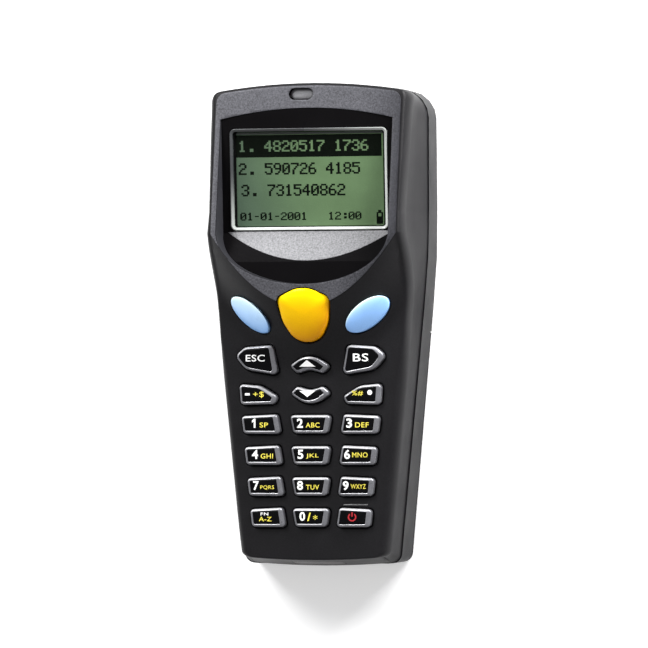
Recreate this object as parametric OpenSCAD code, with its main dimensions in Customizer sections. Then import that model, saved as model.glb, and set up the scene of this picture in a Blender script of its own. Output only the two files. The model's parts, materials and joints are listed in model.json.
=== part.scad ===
// Hand-held barcode data terminal, lying on its back.
// +Z comes up out of the keypad, +Y points to the scan end, the origin is under the middle.

/* [Body] */
// Length of the body
body_l = 122; // [112:1:134]
// Width of the head
body_w = 56; // [52:0.5:62]
// Width at the tail end
tail_w = 40.4; // [38:0.2:46]
// Height of the keypad deck
deck_z = 21.5; // [21.2:0.1:24]
// Height of the ridge round the display
ridge_z = 31; // [29:0.1:33]
// Height of the head at the scan end
nose_z = 23.2; // [22.6:0.1:26]
// Height of the seam between the two shells
seam_z = 11; // [9.5:0.1:11.6]
// Wall of the shells
wall = 1.8; // [1.4:0.1:2]
// Place along the body where the waist starts
waist_y = 18; // [12:1:26]
// Plan radius of the corners at the scan end
nose_r = 6; // [4:0.5:8]
// Plan radius of the corners at the tail
tail_r = 2; // [1.6:0.1:3]
// Rise of the arched scan end
nose_arch = 2.6; // [1:0.1:3.5]
// Rise of the arched tail
tail_arch = 1; // [0.4:0.1:1.6]
// Width of the rounded front shoulders along the keypad
shoulder_r = 2.5; // [2.2:0.1:3]
// Height of the rounded front shoulders along the keypad
shoulder_h = 4; // [3.6:0.1:4.4]
// Radius of the back edges
back_r = 1.4; // [1:0.1:2]
// How far the sides lean in above the seam, run over rise
draft = 0.155; // [0.12:0.005:0.17]

/* [Ridge] */
// Place of the ridge's lowest point
crest_y = 4.4; // [3:0.2:6]
// Curve of the ridge across the body
crest_bend = 0.0322; // [0.028:0.001:0.036]
// Length of the slope from the ridge to the deck
slope_l = 18; // [16:0.5:20]
// Place where the head starts to fall towards the scan end
fall_y = 22; // [20:0.5:26]

/* [Display] */
// Half width of the display recess
recess_w = 22; // [21.6:0.1:22.4]
// Distance of the recess corners from the scan end
recess_margin = 6.4; // [6:0.2:7]
// Rise of the recess's upper edge
recess_arch = 2.7; // [1:0.1:3]
// Place where the recess's lower curve starts
recess_turn = 23.6; // [23:0.1:24]
// Lowest point of the recess
recess_low = 10.3; // [10:0.1:11]
// Lens width
lens_w = 40.8; // [39:0.1:41.2]
// Place of the lens's lower edge
lens_low = 24; // [23.9:0.1:24.4]
// Distance of the lens's upper edge from the recess corners
lens_margin = 2.4; // [2:0.1:3.4]
// Lens thickness
lens_t = 1.2; // [1:0.1:1.5]
// Height of the lens face at its lower edge
lens_z = 23.8; // [23.6:0.1:24]
// Tilt of the display, rise over run
lens_rise = 0.055; // [0.04:0.005:0.06]
// Thickness of the bezel
bezel_t = 2; // [1.8:0.1:2.2]
// Width of the bezel ledge in the shell
ledge_w = 1.4; // [1:0.1:1.5]
// Rise of the chin below the lens
chin_rise = 4.2; // [3:0.1:4.4]
// Length of the chin
chin_l = 7.4; // [6.8:0.1:7.8]
// Visible screen width
screen_w = 37.6; // [36:0.1:38]
// Edge of the lens over the screen
screen_edge = 0.8; // [0.6:0.1:3]
// Thickness of the screen glass
glass_t = 1.9; // [1.6:0.1:2]

/* [Head plate] */
// Thickness of the plate let into the head
plate_t = 0.9; // [0.8:0.1:1]
// Height of the plate's face above the shell
plate_rise = 0.25; // [0.1:0.05:0.3]
// Distance from the plate to the ridge line and to the shoulders
plate_edge = 0.2; // [0.1:0.1:0.5]
// Distance from the plate to the scan end
plate_margin = 0.7; // [0.5:0.1:1]
// Corner radius of the plate at the scan end
plate_r = 2.6; // [2.2:0.1:3.4]

/* [Keypad] */
// Height of the key faces above the deck
key_rise = 1.7; // [1.4:0.1:2]
// Travel of a key
key_travel = 0.8; // [0.5:0.1:0.8]
// Height of the keys
key_h = 4.8; // [4:0.1:5.2]
// Width of the first row of number keys
key_w = 9.7; // [8:0.1:10]
// Narrowing of the keys from row to row
key_step = 0.33; // [0:0.01:0.5]
// Place of the first row of number keys
number_y = -24.9; // [-25.4:0.1:-24.4]
// Pitch of the number rows
row_pitch = 7.83; // [7.5:0.01:7.9]
// Half spacing of the outer columns at the first number row
column_x = 12.7; // [12.2:0.1:13]
// Closing of the outer columns from row to row
column_step = 0.55; // [0.3:0.01:0.7]
// Place of the row with the signs
sign_y = -17.4; // [-17.6:0.1:-17.2]
// Place of the escape and backspace keys
escape_y = -8.7; // [-9:0.1:-8.4]
// Length of the enter keys
enter_l = 12.6; // [11:0.1:13]
// Width of the enter keys
enter_w = 5.8; // [5:0.1:6.4]
// Turn of the enter keys
enter_turn = 40; // [36:1:44]
// Half spacing of the enter keys
enter_x = 15.2; // [15:0.1:15.8]
// Place of the enter keys
enter_y = 2.7; // [2.4:0.1:3]
// Place of the trigger key
trigger_y = 2.6; // [2.4:0.1:2.8]
// Crown of the trigger key
trigger_crown = 1.5; // [1.2:0.1:2]
// Length of the rib that marks the power key
rib_l = 6.4; // [5:0.2:7.2]
// Width of the rib
rib_w = 0.6; // [0.4:0.1:0.7]
// Height of the rib above the deck
rib_rise = 0.3; // [0.2:0.1:0.5]

/* [Electronics] */
// Thickness of the main board
board_t = 1.6; // [1:0.1:1.6]
// Height of the main board's lower face
board_z = 15.2; // [15.1:0.1:15.3]
// Thickness of the keypad mat
mat_t = 0.8; // [0.6:0.1:0.9]

/* [Battery] */
// Diameter of a cell
cell_d = 10.5; // [10:0.1:10.5]
// Length of a cell with its tip
cell_l = 44.5; // [40:0.5:44.5]
// Thickness of the battery cover
cover_t = 2.2; // [2:0.1:2.3]
// How far the cover reaches past the battery compartment
cover_reach = 6.15; // [5:0.05:7]
// Half spacing of the cover's rails
rail_x = 15.2; // [14.8:0.1:15.6]
// Travel of the cover off its rails
cover_travel = 62; // [60:1:66]
// Travel of the cover latch
latch_travel = 2.4; // [1.6:0.1:3]

/* [Scan end] */
// Width of the scan window
window_w = 34; // [28:0.5:36]
// Height of the scan window
window_h = 11; // [9:0.2:11.4]
// Height of the window's middle
window_z = 10.6; // [10:0.1:11]
// Thickness of the scan window
window_t = 1.2; // [1:0.1:1.4]

/* [Fasteners] */
// Diameter of a housing screw
screw_d = 2.2; // [1.8:0.1:2.4]
// Diameter of a housing screw's head
head_d = 4; // [3.6:0.1:4.4]
// Diameter of a screw boss
boss_d = 5.4; // [5.2:0.1:5.8]

/* [Fits] */
// Clearance round a key
key_gap = 0.3; // [0.2:0.05:0.4]
// Clearance between moulded pieces
fit = 0.15; // [0.1:0.05:0.2]
// Clearance of what slides
slide_gap = 0.3; // [0.2:0.05:0.35]

/* [Hidden] */

// colours
shell_colour = [0.16, 0.16, 0.18];
black_gloss = [0.04, 0.04, 0.05];
plate_grey = [0.34, 0.34, 0.36];
silver = [0.62, 0.63, 0.66];
rubber_grey = [0.5, 0.5, 0.53];
board_green = [0.1, 0.36, 0.2];
steel = [0.72, 0.73, 0.75];
gold = [0.83, 0.68, 0.3];

// the two ends of the body before their arches
nose_end = body_l / 2 - nose_arch;
tail_end = -body_l / 2 + tail_arch;
waist_blend = 6;
nose_edge = 0.8;
tail_edge = 1.2;
head_shoulder = 5;
shoulder_least = 1.2;
back_lean = [-0.05, 0.03];

function soft(d, b) = (d + sqrt(d * d + b * b)) / 2;
function mix(a, b, t) = a + (b - a) * t;
function clamp(t) = min(1, max(0, t));
function step01(t) = let (s = clamp(t)) s * s * (3 - 2 * s);
function unit(v) = v / norm(v);
// how far a round of radius r has dropped at the share t of its width
function round_drop(r, t) = r * (1 - sqrt(1 - pow(clamp(t), 2)));

// ---- the form of the body -------------------------------------------------
waist_slope = (body_w - tail_w) / 2 / soft(waist_y + body_l / 2, waist_blend);
function half_w(y) = body_w / 2 - waist_slope * soft(waist_y - y, waist_blend);
function plan_w(y) = half_w(y)
  - round_drop(nose_r, (y - nose_end + nose_r) / nose_r)
  - round_drop(tail_r, (tail_end + tail_r - y) / tail_r);
// both ends are arched in plan, fading out towards the middle
function arch(x, y) = (1 - pow(x / half_w(y), 2))
  * (nose_arch * pow(clamp((y - 30) / (nose_end - 30)), 2)
    - tail_arch * pow(clamp((-30 - y) / (-30 - tail_end)), 2));

fall = (ridge_z - nose_z) / (body_l / 2 - fall_y);
function rim(y) = ridge_z - fall * soft(y - fall_y, 3);
function crest(x) = crest_y + crest_bend * x * x;
function slope_share(t) = let (s = clamp(t)) pow(1 - s, 2) * (1 + 0.9 * s);
function edge_drop(y) = round_drop(nose_edge, (y - nose_end + nose_edge) / nose_edge)
  + round_drop(tail_edge, (tail_end + tail_edge - y) / tail_edge);
function front(x, y) = (y >= crest(x) ? rim(y)
  : deck_z + (rim(crest(x)) - deck_z) * slope_share((crest(x) - y) / slope_l)) - edge_drop(y);
// the share of the head's shoulder in the shoulder at y
function head_share(y) = step01((y - slope_low) / (crest_y - slope_low));

// stations along the body, closer at the corners and on the slope below the ridge
slope_low = -14;
slope_high = 30;
function steps(a, b, n) = [for (i = [1 : n]) mix(a, b, i / n)];
function stations(e, counts, turn) = let (a = tail_end + e, b = nose_end - e, ra = max(tail_r - e, 1), rb = max(nose_r - e, 1))
  concat([for (t = [0 : turn : 90]) a + ra * (1 - cos(t))], steps(a + ra, slope_low, counts[0]),
    steps(slope_low, crest_y, counts[1]), steps(crest_y, slope_high, counts[2]),
    steps(slope_high, b - rb, counts[3]), [for (t = [turn : turn : 90]) b - rb * (1 - sin(t))]);
// where a station's row runs at the share u of the width: the rows bend with the ridge
ridge_w = body_w / 2 - 3.9;
function row_y(y, u) = y + crest_bend * pow(u * ridge_w, 2)
  * clamp(min((y - slope_low) / (crest_y - slope_low), (slope_high - y) / (slope_high - crest_y)));

// columns over the body: [share of the flat, sine of the turn on the round, drop on the round]
function columns(n, turn) = concat([for (t = [90 : -turn : turn]) [-1, -sin(t), 1 - cos(t)]],
  [for (i = [0 : n]) [2 * i / n - 1, 0, 0]], [for (t = [turn : turn : 90]) [1, sin(t), 1 - cos(t)]]);
// a face point of the front, inset by e, and the base point below it: the shoulder is r wide and
// h high, and in the head it starts at the end of the ridge
function front_point(c, station, e, base) = let (y = row_y(station, c[0]), w = plan_w(y) - e,
    s = head_share(y), h = mix(shoulder_h, head_shoulder, s), wt = w - draft * (front(w, y) - h - seam_z),
    r = max(max(mix(shoulder_r, wt + e - ridge_w, s), shoulder_least) - e, 0.7),
    flat_x = c[0] * (wt - r), x = flat_x + c[1] * r, low_x = x * w / wt)
  [[x, y + arch(x, y), front(flat_x, y) - e - c[2] * (h - e)], [low_x, y + arch(low_x, y), base]];
// the same for the flat back
function back_point(c, y, e, base) = let (w = plan_w(y) - e, r = max(back_r - e, 0.6),
    lean = mix(back_lean[0], back_lean[1], (y - tail_end) / (nose_end - tail_end)), wt = w - lean * seam_z,
    x = c[0] * (wt - r) + c[1] * r, low_x = x * w / wt)
  [[x, y + arch(x, y), e + c[2] * r + edge_drop(y) / 2], [low_x, y + arch(low_x, y), base]];
function by_rows(pairs) = [[for (p = pairs) p[0]], [for (p = pairs) p[1]]];

// closed form from rows of [face points, base points]; the base is one flat face
module row_form(rows) {
  n = len(rows[0][0]);
  m = len(rows);
  function base_at(k, i) = m * n + (k == 0 ? i : k == m - 1 ? n + i : 2 * n + 2 * (k - 1) + (i == 0 ? 0 : 1));
  function quad(a, b, c, d) = [[a, b, c], [a, c, d]];
  points = concat([for (r = rows) each r[0]], rows[0][1], rows[m - 1][1],
    [for (k = [1 : m - 2]) each [rows[k][1][0], rows[k][1][n - 1]]]);
  polyhedron(points, concat(
    [for (k = [0 : m - 2]) for (i = [0 : n - 2]) each quad(k * n + i, (k + 1) * n + i, (k + 1) * n + i + 1, k * n + i + 1)],
    [for (k = [0 : m - 2]) each quad(base_at(k, 0), base_at(k + 1, 0), (k + 1) * n, k * n)],
    [for (k = [0 : m - 2]) each quad(k * n + n - 1, (k + 1) * n + n - 1, base_at(k + 1, n - 1), base_at(k, n - 1))],
    [for (i = [0 : n - 2]) each quad(i, i + 1, base_at(0, i + 1), base_at(0, i))],
    [for (i = [0 : n - 2]) let (t = (m - 1) * n) each quad(t + i + 1, t + i, base_at(m - 1, i), base_at(m - 1, i + 1))],
    [concat([for (i = [0 : n - 1]) base_at(0, i)], [for (k = [1 : m - 2]) base_at(k, n - 1)],
      [for (i = [n - 1 : -1 : 0]) base_at(m - 1, i)], [for (k = [m - 2 : -1 : 1]) base_at(k, 0)])]), 4);
}
// grids: rows in the four stretches, columns on the flat, and the angle between facets of a round
fine = [[5, 9, 4, 5], 12, 22.5];
medium = [[3, 6, 3, 3], 8, 90];
coarse = [[2, 4, 2, 2], 4, 45];
plain = [[4, 2, 2, 2], 1, 22.5];
bare = [[1, 1, 1, 1], 1, 22.5];
module front_form(e = 0, base = seam_z, grid = fine) {
  row_form([for (y = stations(e, grid[0], grid[2]))
    by_rows([for (c = columns(grid[1], grid[2])) front_point(c, y, e, base)])]);
}
// the back is built from the scan end down, so that its faces point outwards
module back_form(e = 0, base = seam_z, grid = plain) {
  ends = stations(e, grid[0], grid[2]);
  row_form([for (i = [len(ends) - 1 : -1 : 0])
    by_rows([for (c = columns(grid[1], grid[2])) back_point(c, ends[i], e, base)])]);
}

// ---- outlines -------------------------------------------------------------
// polygon with rounded corners from [x, y, radius] points that run anticlockwise
function corner(a, p, b, r, n) = let (u = unit(a - p), v = unit(b - p), half = acos(u * v) / 2,
    c = p + unit(u + v) * r / sin(half), t = r / tan(half), p0 = p + u * t, p1 = p + v * t,
    a0 = atan2(p0.y - c.y, p0.x - c.x), a1 = atan2(p1.y - c.y, p1.x - c.x),
    d = (a1 - a0 + 540) % 360 - 180)
  [for (i = [0 : n]) c + r * [cos(a0 + d * i / n), sin(a0 + d * i / n)]];
function xy(p) = [p[0], p[1]];
function rounded(P, n = 2) = let (m = len(P))
  [for (i = [0 : m - 1]) each corner(xy(P[(i + m - 1) % m]), xy(P[i]), xy(P[(i + 1) % m]), P[i][2], n)];
function grow(P, d) = let (m = len(P)) [for (i = [0 : m - 1])
  let (a = unit(P[i] - P[(i + m - 1) % m]), b = unit(P[(i + 1) % m] - P[i]))
  P[i] + d * [a.y + b.y, -a.x - b.x] / (1 + a * b)];
function moved(P, c) = [for (p = P) p + c];
function mirrored(P) = [for (i = [len(P) - 1 : -1 : 0]) [-P[i].x, P[i].y]];
function flipped(P) = [for (i = [len(P) - 1 : -1 : 0]) [P[i].x, -P[i].y]];
module prism(P, z0, z1) {
  translate([0, 0, z0]) linear_extrude(z1 - z0) polygon(P);
}
module rounded_box(size, r) {
  s = size / 2;
  translate([0, 0, -s.z]) linear_extrude(size.z)
    polygon(rounded([[-s.x, -s.y, r], [s.x, -s.y, r], [s.x, s.y, r], [-s.x, s.y, r]], 4));
}

// ---- the display ----------------------------------------------------------
recess_top = nose_end - recess_margin;
lens_h = recess_top - lens_margin - lens_low;
lens_y = lens_low + lens_h / 2;
lens_proud = 0.4;
ledge_t = 1;
curb_t = 1.4;
glass_gap = 0.1;
function floor_z(y) = lens_z - lens_proud + lens_rise * (y - lens_low);
chin_top = lens_low - 0.6;
chin_end = chin_top - chin_l;
strip_z = floor_z(chin_top) + chin_rise;
strip_rise = 0.4;
function recess_points(d = 0) = let (b = recess_turn - recess_low)
  grow(concat([for (t = [180 : 11.25 : 360]) [recess_w * cos(t), recess_turn + b * sin(t)]],
    [for (i = [0 : 8]) let (x = recess_w * (1 - i / 4)) [x, recess_top + recess_arch * (1 - pow(x / recess_w, 2))]]), d);
// side view of the bezel's upper face, from the low end to the scan end
bezel_line = [[recess_low - 3, strip_z + strip_rise], [chin_end, strip_z], [chin_top, floor_z(chin_top)],
  [recess_top + recess_arch + 3, floor_z(recess_top + recess_arch + 3)]];
// what lies between two shifts of that line, inside the recess outline grown by d
module display_block(d, low, high) {
  intersection() {
    prism(recess_points(d), 0, ridge_z + 4);
    rotate([90, 0, 90]) translate([0, 0, -body_w]) linear_extrude(2 * body_w)
      polygon(concat([for (p = bezel_line) p + [0, low]],
        [for (i = [len(bezel_line) - 1 : -1 : 0]) bezel_line[i] + [0, high]]));
  }
}
module on_display(lift = 0) {
  translate([0, lens_y, floor_z(lens_y) + lift]) rotate([atan(lens_rise), 0, 0]) children();
}
glass_w = lens_w - 1.2;
glass_h = lens_h - 0.4;
lens_r = 1.4;

// ---- the keys -------------------------------------------------------------
flange_z = deck_z - wall - 1.05;
flange_t = 0.75;
flange_w = 0.7;
collar_t = 0.9;
board_top = board_z + board_t;
stem_low = board_top + key_travel + 0.3;
stem_r = 1.4;
key_bevel = 0.45;
sign_w = 9.6;
sign_h = 5.2;
escape_w = 10.8;
escape_h = 7.6;
arrow_w = 10;
arrow_h = 4.5;
trigger_w = 13.2;
trigger_h = 13.4;
trigger_slope = 0.33;
trigger_z = 29.15;
escape_x = column_x + 2 * column_step;
sign_x = column_x + 1.2 * column_step;
up_y = escape_y - 1.4;
function centre_outline(w, h) = rounded([[-0.42 * w, -0.48 * h, 1], [0.42 * w, -0.48 * h, 1],
  [0.51 * w, 0.48 * h, 0.9], [-0.51 * w, 0.48 * h, 0.9]]);
function left_outline(w, h) = rounded([[-0.46 * w, -0.49 * h, 0.9], [0.49 * w, -0.5 * h, 0.9],
  [0.4 * w, 0.52 * h, 0.8], [-0.52 * w, 0.43 * h, 0.9]]);
function backspace_outline() = let (w = escape_w, h = escape_h)
  rounded([[-0.49 * w, -0.51 * h, 1.2], [0.26 * w, -0.32 * h, 3.6], [0.51 * w, 0.13 * h, 1.4],
    [0.28 * w, 0.43 * h, 2.4], [-0.37 * w, 0.5 * h, 1.2]]);
function minus_outline() = let (w = sign_w, h = sign_h)
  rounded([[-0.47 * w, -0.5 * h, 1], [0.4 * w, -0.46 * h, 1.1], [0.49 * w, -0.1 * h, 1],
    [0.05 * w, 0.42 * h, 4], [-0.51 * w, 0.52 * h, 1]]);
function arrow_outline() = let (w = arrow_w, h = arrow_h)
  rounded([[-0.32 * w, -0.45 * h, 1], [0, -0.22 * h, 4], [0.32 * w, -0.45 * h, 1], [0.5 * w, -0.04 * h, 0.8],
    [0, 0.75 * h, 5], [-0.5 * w, -0.04 * h, 0.8]]);
function enter_outline(turn) = [for (t = [0 : 22.5 : 337.5])
  let (p = [enter_l / 2 * cos(t), enter_w / 2 * sin(t)])
  [p.x * cos(turn) - p.y * sin(turn), p.x * sin(turn) + p.y * cos(turn)]];
function trigger_outline() = let (w = trigger_w, h = trigger_h)
  rounded([[0, 0.56 * h, 8], [-0.52 * w, 0.32 * h, 1.8], [-0.43 * w, -0.16 * h, 8], [-0.21 * w, -0.5 * h, 2.4],
    [0.21 * w, -0.5 * h, 2.4], [0.43 * w, -0.16 * h, 8], [0.52 * w, 0.32 * h, 1.8]]);
function number_w(row) = key_w - key_step * row;
function number_x(row) = column_x - column_step * row;
function number_row(row) = number_y - row_pitch * row;

// centre and outline of every key
function key_place(k) =
  k == "trigger_key" ? [0, trigger_y] : k == "enter_left" ? [-enter_x, enter_y] : k == "enter_right" ? [enter_x, enter_y]
  : k == "escape_key" ? [-escape_x, escape_y] : k == "backspace_key" ? [escape_x, escape_y]
  : k == "up_key" ? [0, up_y] : k == "down_key" ? [0, sign_y]
  : k == "minus_key" ? [-sign_x, sign_y] : k == "percent_key" ? [sign_x, sign_y]
  : let (i = search([k], NUMBERS)[0], row = floor(i / 3), col = i % 3 - 1) [col * number_x(row), number_row(row)];
NUMBERS = ["number_1", "number_2", "number_3", "number_4", "number_5", "number_6", "number_7", "number_8",
  "number_9", "alpha_key", "number_0", "power_key"];
KEYS = concat(["trigger_key", "enter_left", "enter_right", "escape_key", "backspace_key", "up_key", "down_key",
  "minus_key", "percent_key"], NUMBERS);
function key_outline(k) =
  k == "trigger_key" ? trigger_outline() : k == "enter_left" ? enter_outline(-enter_turn)
  : k == "enter_right" ? enter_outline(enter_turn)
  : k == "backspace_key" ? backspace_outline() : k == "escape_key" ? mirrored(backspace_outline())
  : k == "up_key" ? arrow_outline() : k == "down_key" ? flipped(arrow_outline())
  : k == "minus_key" ? minus_outline() : k == "percent_key" ? mirrored(minus_outline())
  : let (i = search([k], NUMBERS)[0], row = floor(i / 3), col = i % 3 - 1, w = number_w(row))
    col == 0 ? centre_outline(w * 1.04, key_h) : col < 0 ? left_outline(w, key_h) : mirrored(left_outline(w, key_h));

// skin through closed rings of equal length, the first and last ones flat
module skin(rings) {
  n = len(rings[0]);
  m = len(rings);
  polyhedron([for (r = rings) each r], concat([[for (i = [0 : n - 1]) i]],
    [for (k = [0 : m - 2]) for (i = [0 : n - 1]) let (a = k * n + i, b = k * n + (i + 1) % n)
      each [[a, a + n, b], [b, a + n, b + n]]],
    [[for (i = [n - 1 : -1 : 0]) (m - 1) * n + i]]), 4);
}
// a key: its stem, its flange, its sides and its top
// each ring of the top is [scale of the outline, inset, height above the face plane]
module key_body(k, face_z, slope, tops) {
  c = key_place(k);
  P = key_outline(k);
  function flat_ring(d, z) = [for (p = grow(P, d)) [p.x + c.x, p.y + c.y, z]];
  function top_ring(r) = [for (p = grow(P * r[0], -r[1])) [p.x + c.x, p.y + c.y, face_z + r[2] + slope * p]];
  stem = [for (p = P) [c.x, c.y, 0] + stem_r * [p.x, p.y, 0] / norm(p)];
  skin(concat([[for (p = stem) p + [0, 0, stem_low]], [for (p = stem) p + [0, 0, flange_z]],
    flat_ring(flange_w, flange_z), flat_ring(flange_w, flange_z + flange_t), flat_ring(0, flange_z + flange_t)],
    [for (r = tops) top_ring(r)]));
}
function front_slope(c) = let (s = 1.5) [(front(c.x + s, c.y) - front(c.x - s, c.y)) / (2 * s),
  (front(c.x, c.y + s) - front(c.x, c.y - s)) / (2 * s)];
module plain_key(k) {
  c = key_place(k);
  color(rubber_grey) key_body(k, front(c.x, c.y) + key_rise, front_slope(c),
    [[1, 0, -key_bevel], [1, key_bevel, 0]]);
}
module enter_key(k) {
  c = key_place(k);
  color([0.55, 0.74, 0.93]) key_body(k, front(c.x, c.y) + 0.6, front_slope(c),
    [[1, 0, 0], [1, 0.4, 0.5], [0.72, 0, 0.86], [0.4, 0, 1]]);
}
module trigger_key() {
  r = trigger_crown;
  color([0.98, 0.76, 0.05]) key_body("trigger_key", trigger_z, [0, trigger_slope],
    [[1, 0, 0], [1, 0.5, 0.42 * r], [0.78, 0, 0.76 * r], [0.55, 0, 0.94 * r], [0.3, 0, r]]);
}
// the three large keys run in collars that reach down to their flanges
module key_collars() {
  for (k = ["trigger_key", "enter_left", "enter_right"]) translate([key_place(k).x, key_place(k).y, 0])
    prism(grow(key_outline(k), key_gap + collar_t), flange_z + flange_t + key_gap, ridge_z + 4);
}
module key_holes() {
  for (k = KEYS) translate([key_place(k).x, key_place(k).y, 0])
    prism(grow(key_outline(k), key_gap), deck_z - wall - 1, ridge_z + 4);
}

// ---- places shared by the pieces ------------------------------------------
head_screw = [23.2, nose_end - 15.4];
tail_screw = [15.6, tail_end + 4.8];
board_screw_low = [21, -3];
board_screw_high = [22.6, 25];
post_d = 3.8;
board_screw_d = 1.6;
board_head_d = 3.2;
module both_sides(p) {
  for (s = [-1, 1]) translate([s * p.x, p.y, 0]) children();
}
// battery compartment
cell_gap = 0.35;
cell_z = cover_t + cell_gap + cell_d / 2;
cell_x = cell_d / 2 + cell_gap;
well_wall = 1;
contact_t = 0.4;
spring_l = 2.6;
tip_l = 0.8;
well_w = cell_d + 2 * cell_gap + 0.4;
well_low = tail_end + wall + 2.15;
well_high = well_low + cell_l + spring_l + 2 * contact_t + 0.2;
cell_y = (well_low + well_high) / 2;
cover_y = well_high + cover_reach;
well_top = cell_z + cell_d / 2 + cell_gap;
tray_low = cover_t + 0.2;
tray_t = 1.8;
tray_top = tray_low + tray_t;
rail_t = 1;
foot_w = 2.4;
foot_t = 1;
boss_low = tray_top + foot_t + 2 * slide_gap + 0.6;
head_t = 1.6;
head_seat = head_t + 1.2;
tail_seat = boss_low + head_t + 0.2;
// scan end
frame_t = 2.2;
window_seat = nose_end - 1;
window_r = 1;
engine_size = [24, 13, 10.6];
engine_y = window_seat - frame_t - engine_size.y / 2 - slide_gap;
engine_low = 3.9;
bracket_t = 0.8;
ear_low = engine_low - bracket_t;
ear_screw = [engine_size.x / 2 + 3.2, engine_y - 0.5];
ear_post_d = 4.6;
// tail end
ir_w = 13;
ir_h = 4.4;
ir_z = 15.6;
ir_t = 1.4;
pocket_w = 8;
pocket_h = 3.4;
pocket_z = 8;
pocket_depth = 2.9;
pin_d = 1.4;
pad_size = 3;
pad_x = 9.4;
pad_t = 0.8;
// status light
light_y = nose_end - 0.2;
light_x = -1.9;
light_w = 6.4;
light_h = 3;
light_low = nose_z - 3.4;

module along_y(y0, y1) {
  translate([0, y1, 0]) rotate([90, 0, 0]) linear_extrude(y1 - y0) children();
}
module window_block(size, r, y0, y1) {
  along_y(y0, y1) translate([0, window_z]) polygon(rounded([[-size.x / 2, -size.y / 2, r],
    [size.x / 2, -size.y / 2, r], [size.x / 2, size.y / 2, r], [-size.x / 2, size.y / 2, r]], 4));
}
module window_cut() {
  window_block([window_w + 2 * fit, window_h + 2 * fit], window_r, window_seat, body_l);
  window_block([window_w - 2.4, window_h - 2.4], window_r, window_seat - frame_t - 2, body_l);
}
module window_frame() {
  window_block([window_w + 4, window_h + 4], 2, window_seat - frame_t, nose_end + nose_arch);
}
module slot_shape(w, h) {
  for (s = [-1, 1]) translate([s * (w - h) / 2, 0]) circle(d = h, $fn = 24);
  square([w - h, h], center = true);
}
module tail_block(x, z, w, h, y0, y1) {
  translate([x - w / 2, y0, z - h / 2]) cube([w, y1 - y0, h]);
}

// ---- casing ---------------------------------------------------------------
// outline of the head plate, grown by d: along the ridge, up the sides and along the scan end
function plate_points(d = 0) = let (w = ridge_w - plate_edge, c = w - plate_r, top = nose_end - plate_margin,
    turn = [for (t = [0 : 22.5 : 67.5]) plate_r * [cos(t), sin(t)]], low = top + arch(c, nose_end) - plate_r)
  grow(concat([for (i = [0 : 16]) let (x = w * (i / 8 - 1)) [x, crest(x) + plate_edge]],
    [for (p = turn) [c + p.x, low + p.y]],
    [for (i = [0 : 12]) let (x = c * (1 - i / 6)) [x, top + arch(x, nose_end)]],
    [for (i = [3 : -1 : 0]) [-c - turn[i].x, low + turn[i].y]]), d);
// all above the seat of the plate
module plate_space(d, gap) {
  difference() {
    prism(plate_points(d), lens_z - 4, ridge_z + 4);
    front_form(plate_t - plate_rise + gap, seam_z - 1);
  }
}
module light_slot() {
  translate([light_x, light_y, light_low]) linear_extrude(12) slot_shape(light_w, light_h);
}
module head_plate() {
  color(plate_grey) difference() {
    intersection() {
      front_form(-plate_rise);
      plate_space(0, 0);
    }
    prism(recess_points(), 0, ridge_z + 4);
    key_holes();
    light_slot();
  }
}
// the raised mark behind the power key
module power_rib() {
  translate([number_x(3), number_row(3) + key_h / 2 + 0.8, deck_z - wall / 2])
    linear_extrude(wall / 2 + rib_rise) slot_shape(rib_l, rib_w);
}
module front_shell() {
  color(shell_colour) difference() {
    union() {
      difference() {
        front_form();
        front_form(wall, seam_z - 2, medium);
      }
      power_rib();
      intersection() {
        front_form(wall / 2, seam_z, coarse);
        union() {
          display_block(curb_t, -bezel_t - ledge_t, 12);
          window_frame();
          key_collars();
          both_sides(head_screw) translate([0, 0, seam_z]) cylinder(d = boss_d, h = ridge_z, $fn = 32);
          both_sides(tail_screw) translate([0, 0, seam_z]) cylinder(d = boss_d, h = ridge_z, $fn = 32);
          both_sides(board_screw_low) translate([0, 0, board_top]) cylinder(d = post_d, h = ridge_z, $fn = 24);
          both_sides(board_screw_high) translate([0, 0, board_top]) cylinder(d = post_d, h = ridge_z, $fn = 24);
        }
      }
    }
    plate_space(fit / 3, fit / 3);
    display_block(0, -bezel_t, 20);
    display_block(-ledge_w, -bezel_t - 12, 20);
    key_holes();
    window_cut();
    light_slot();
    tail_block(0, ir_z, ir_w + 2 * fit, ir_h + 2 * fit, -body_l, tail_end + wall + 1);
    both_sides(head_screw) translate([0, 0, seam_z - 1]) cylinder(d = screw_d, h = 9, $fn = 24);
    both_sides(tail_screw) translate([0, 0, seam_z - 1]) cylinder(d = screw_d, h = 7.6, $fn = 24);
    both_sides(board_screw_low) translate([0, 0, board_top - 1]) cylinder(d = board_screw_d, h = 4, $fn = 24);
    both_sides(board_screw_high) translate([0, 0, board_top - 1]) cylinder(d = board_screw_d, h = 4, $fn = 24);
  }
}

// where the cover lies, grown by a gap
module cover_zone(gap = 0) {
  translate([-body_w, -body_l, -1]) cube([2 * body_w, body_l + cover_y + gap, cover_t + gap + 1]);
}
module tray() {
  translate([-body_w, -body_l, tray_low]) cube([2 * body_w, body_l + cover_y + wall + slide_gap, tray_t]);
}
module well(grow_by, low, high) {
  translate([-well_w - grow_by, well_low - grow_by, low])
    cube([2 * (well_w + grow_by), well_high - well_low + 2 * grow_by, high - low]);
}
latch_y = cover_y + 6.6;
latch_w = 7;
latch_h = 4.6;
latch_lip = 0.8;
latch_t = 2.1;
tab_x = 4.2;
tab_w = 4;
tab_l = 8.6;
nose_w = 2;
pad_floor = 4.2;
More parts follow.
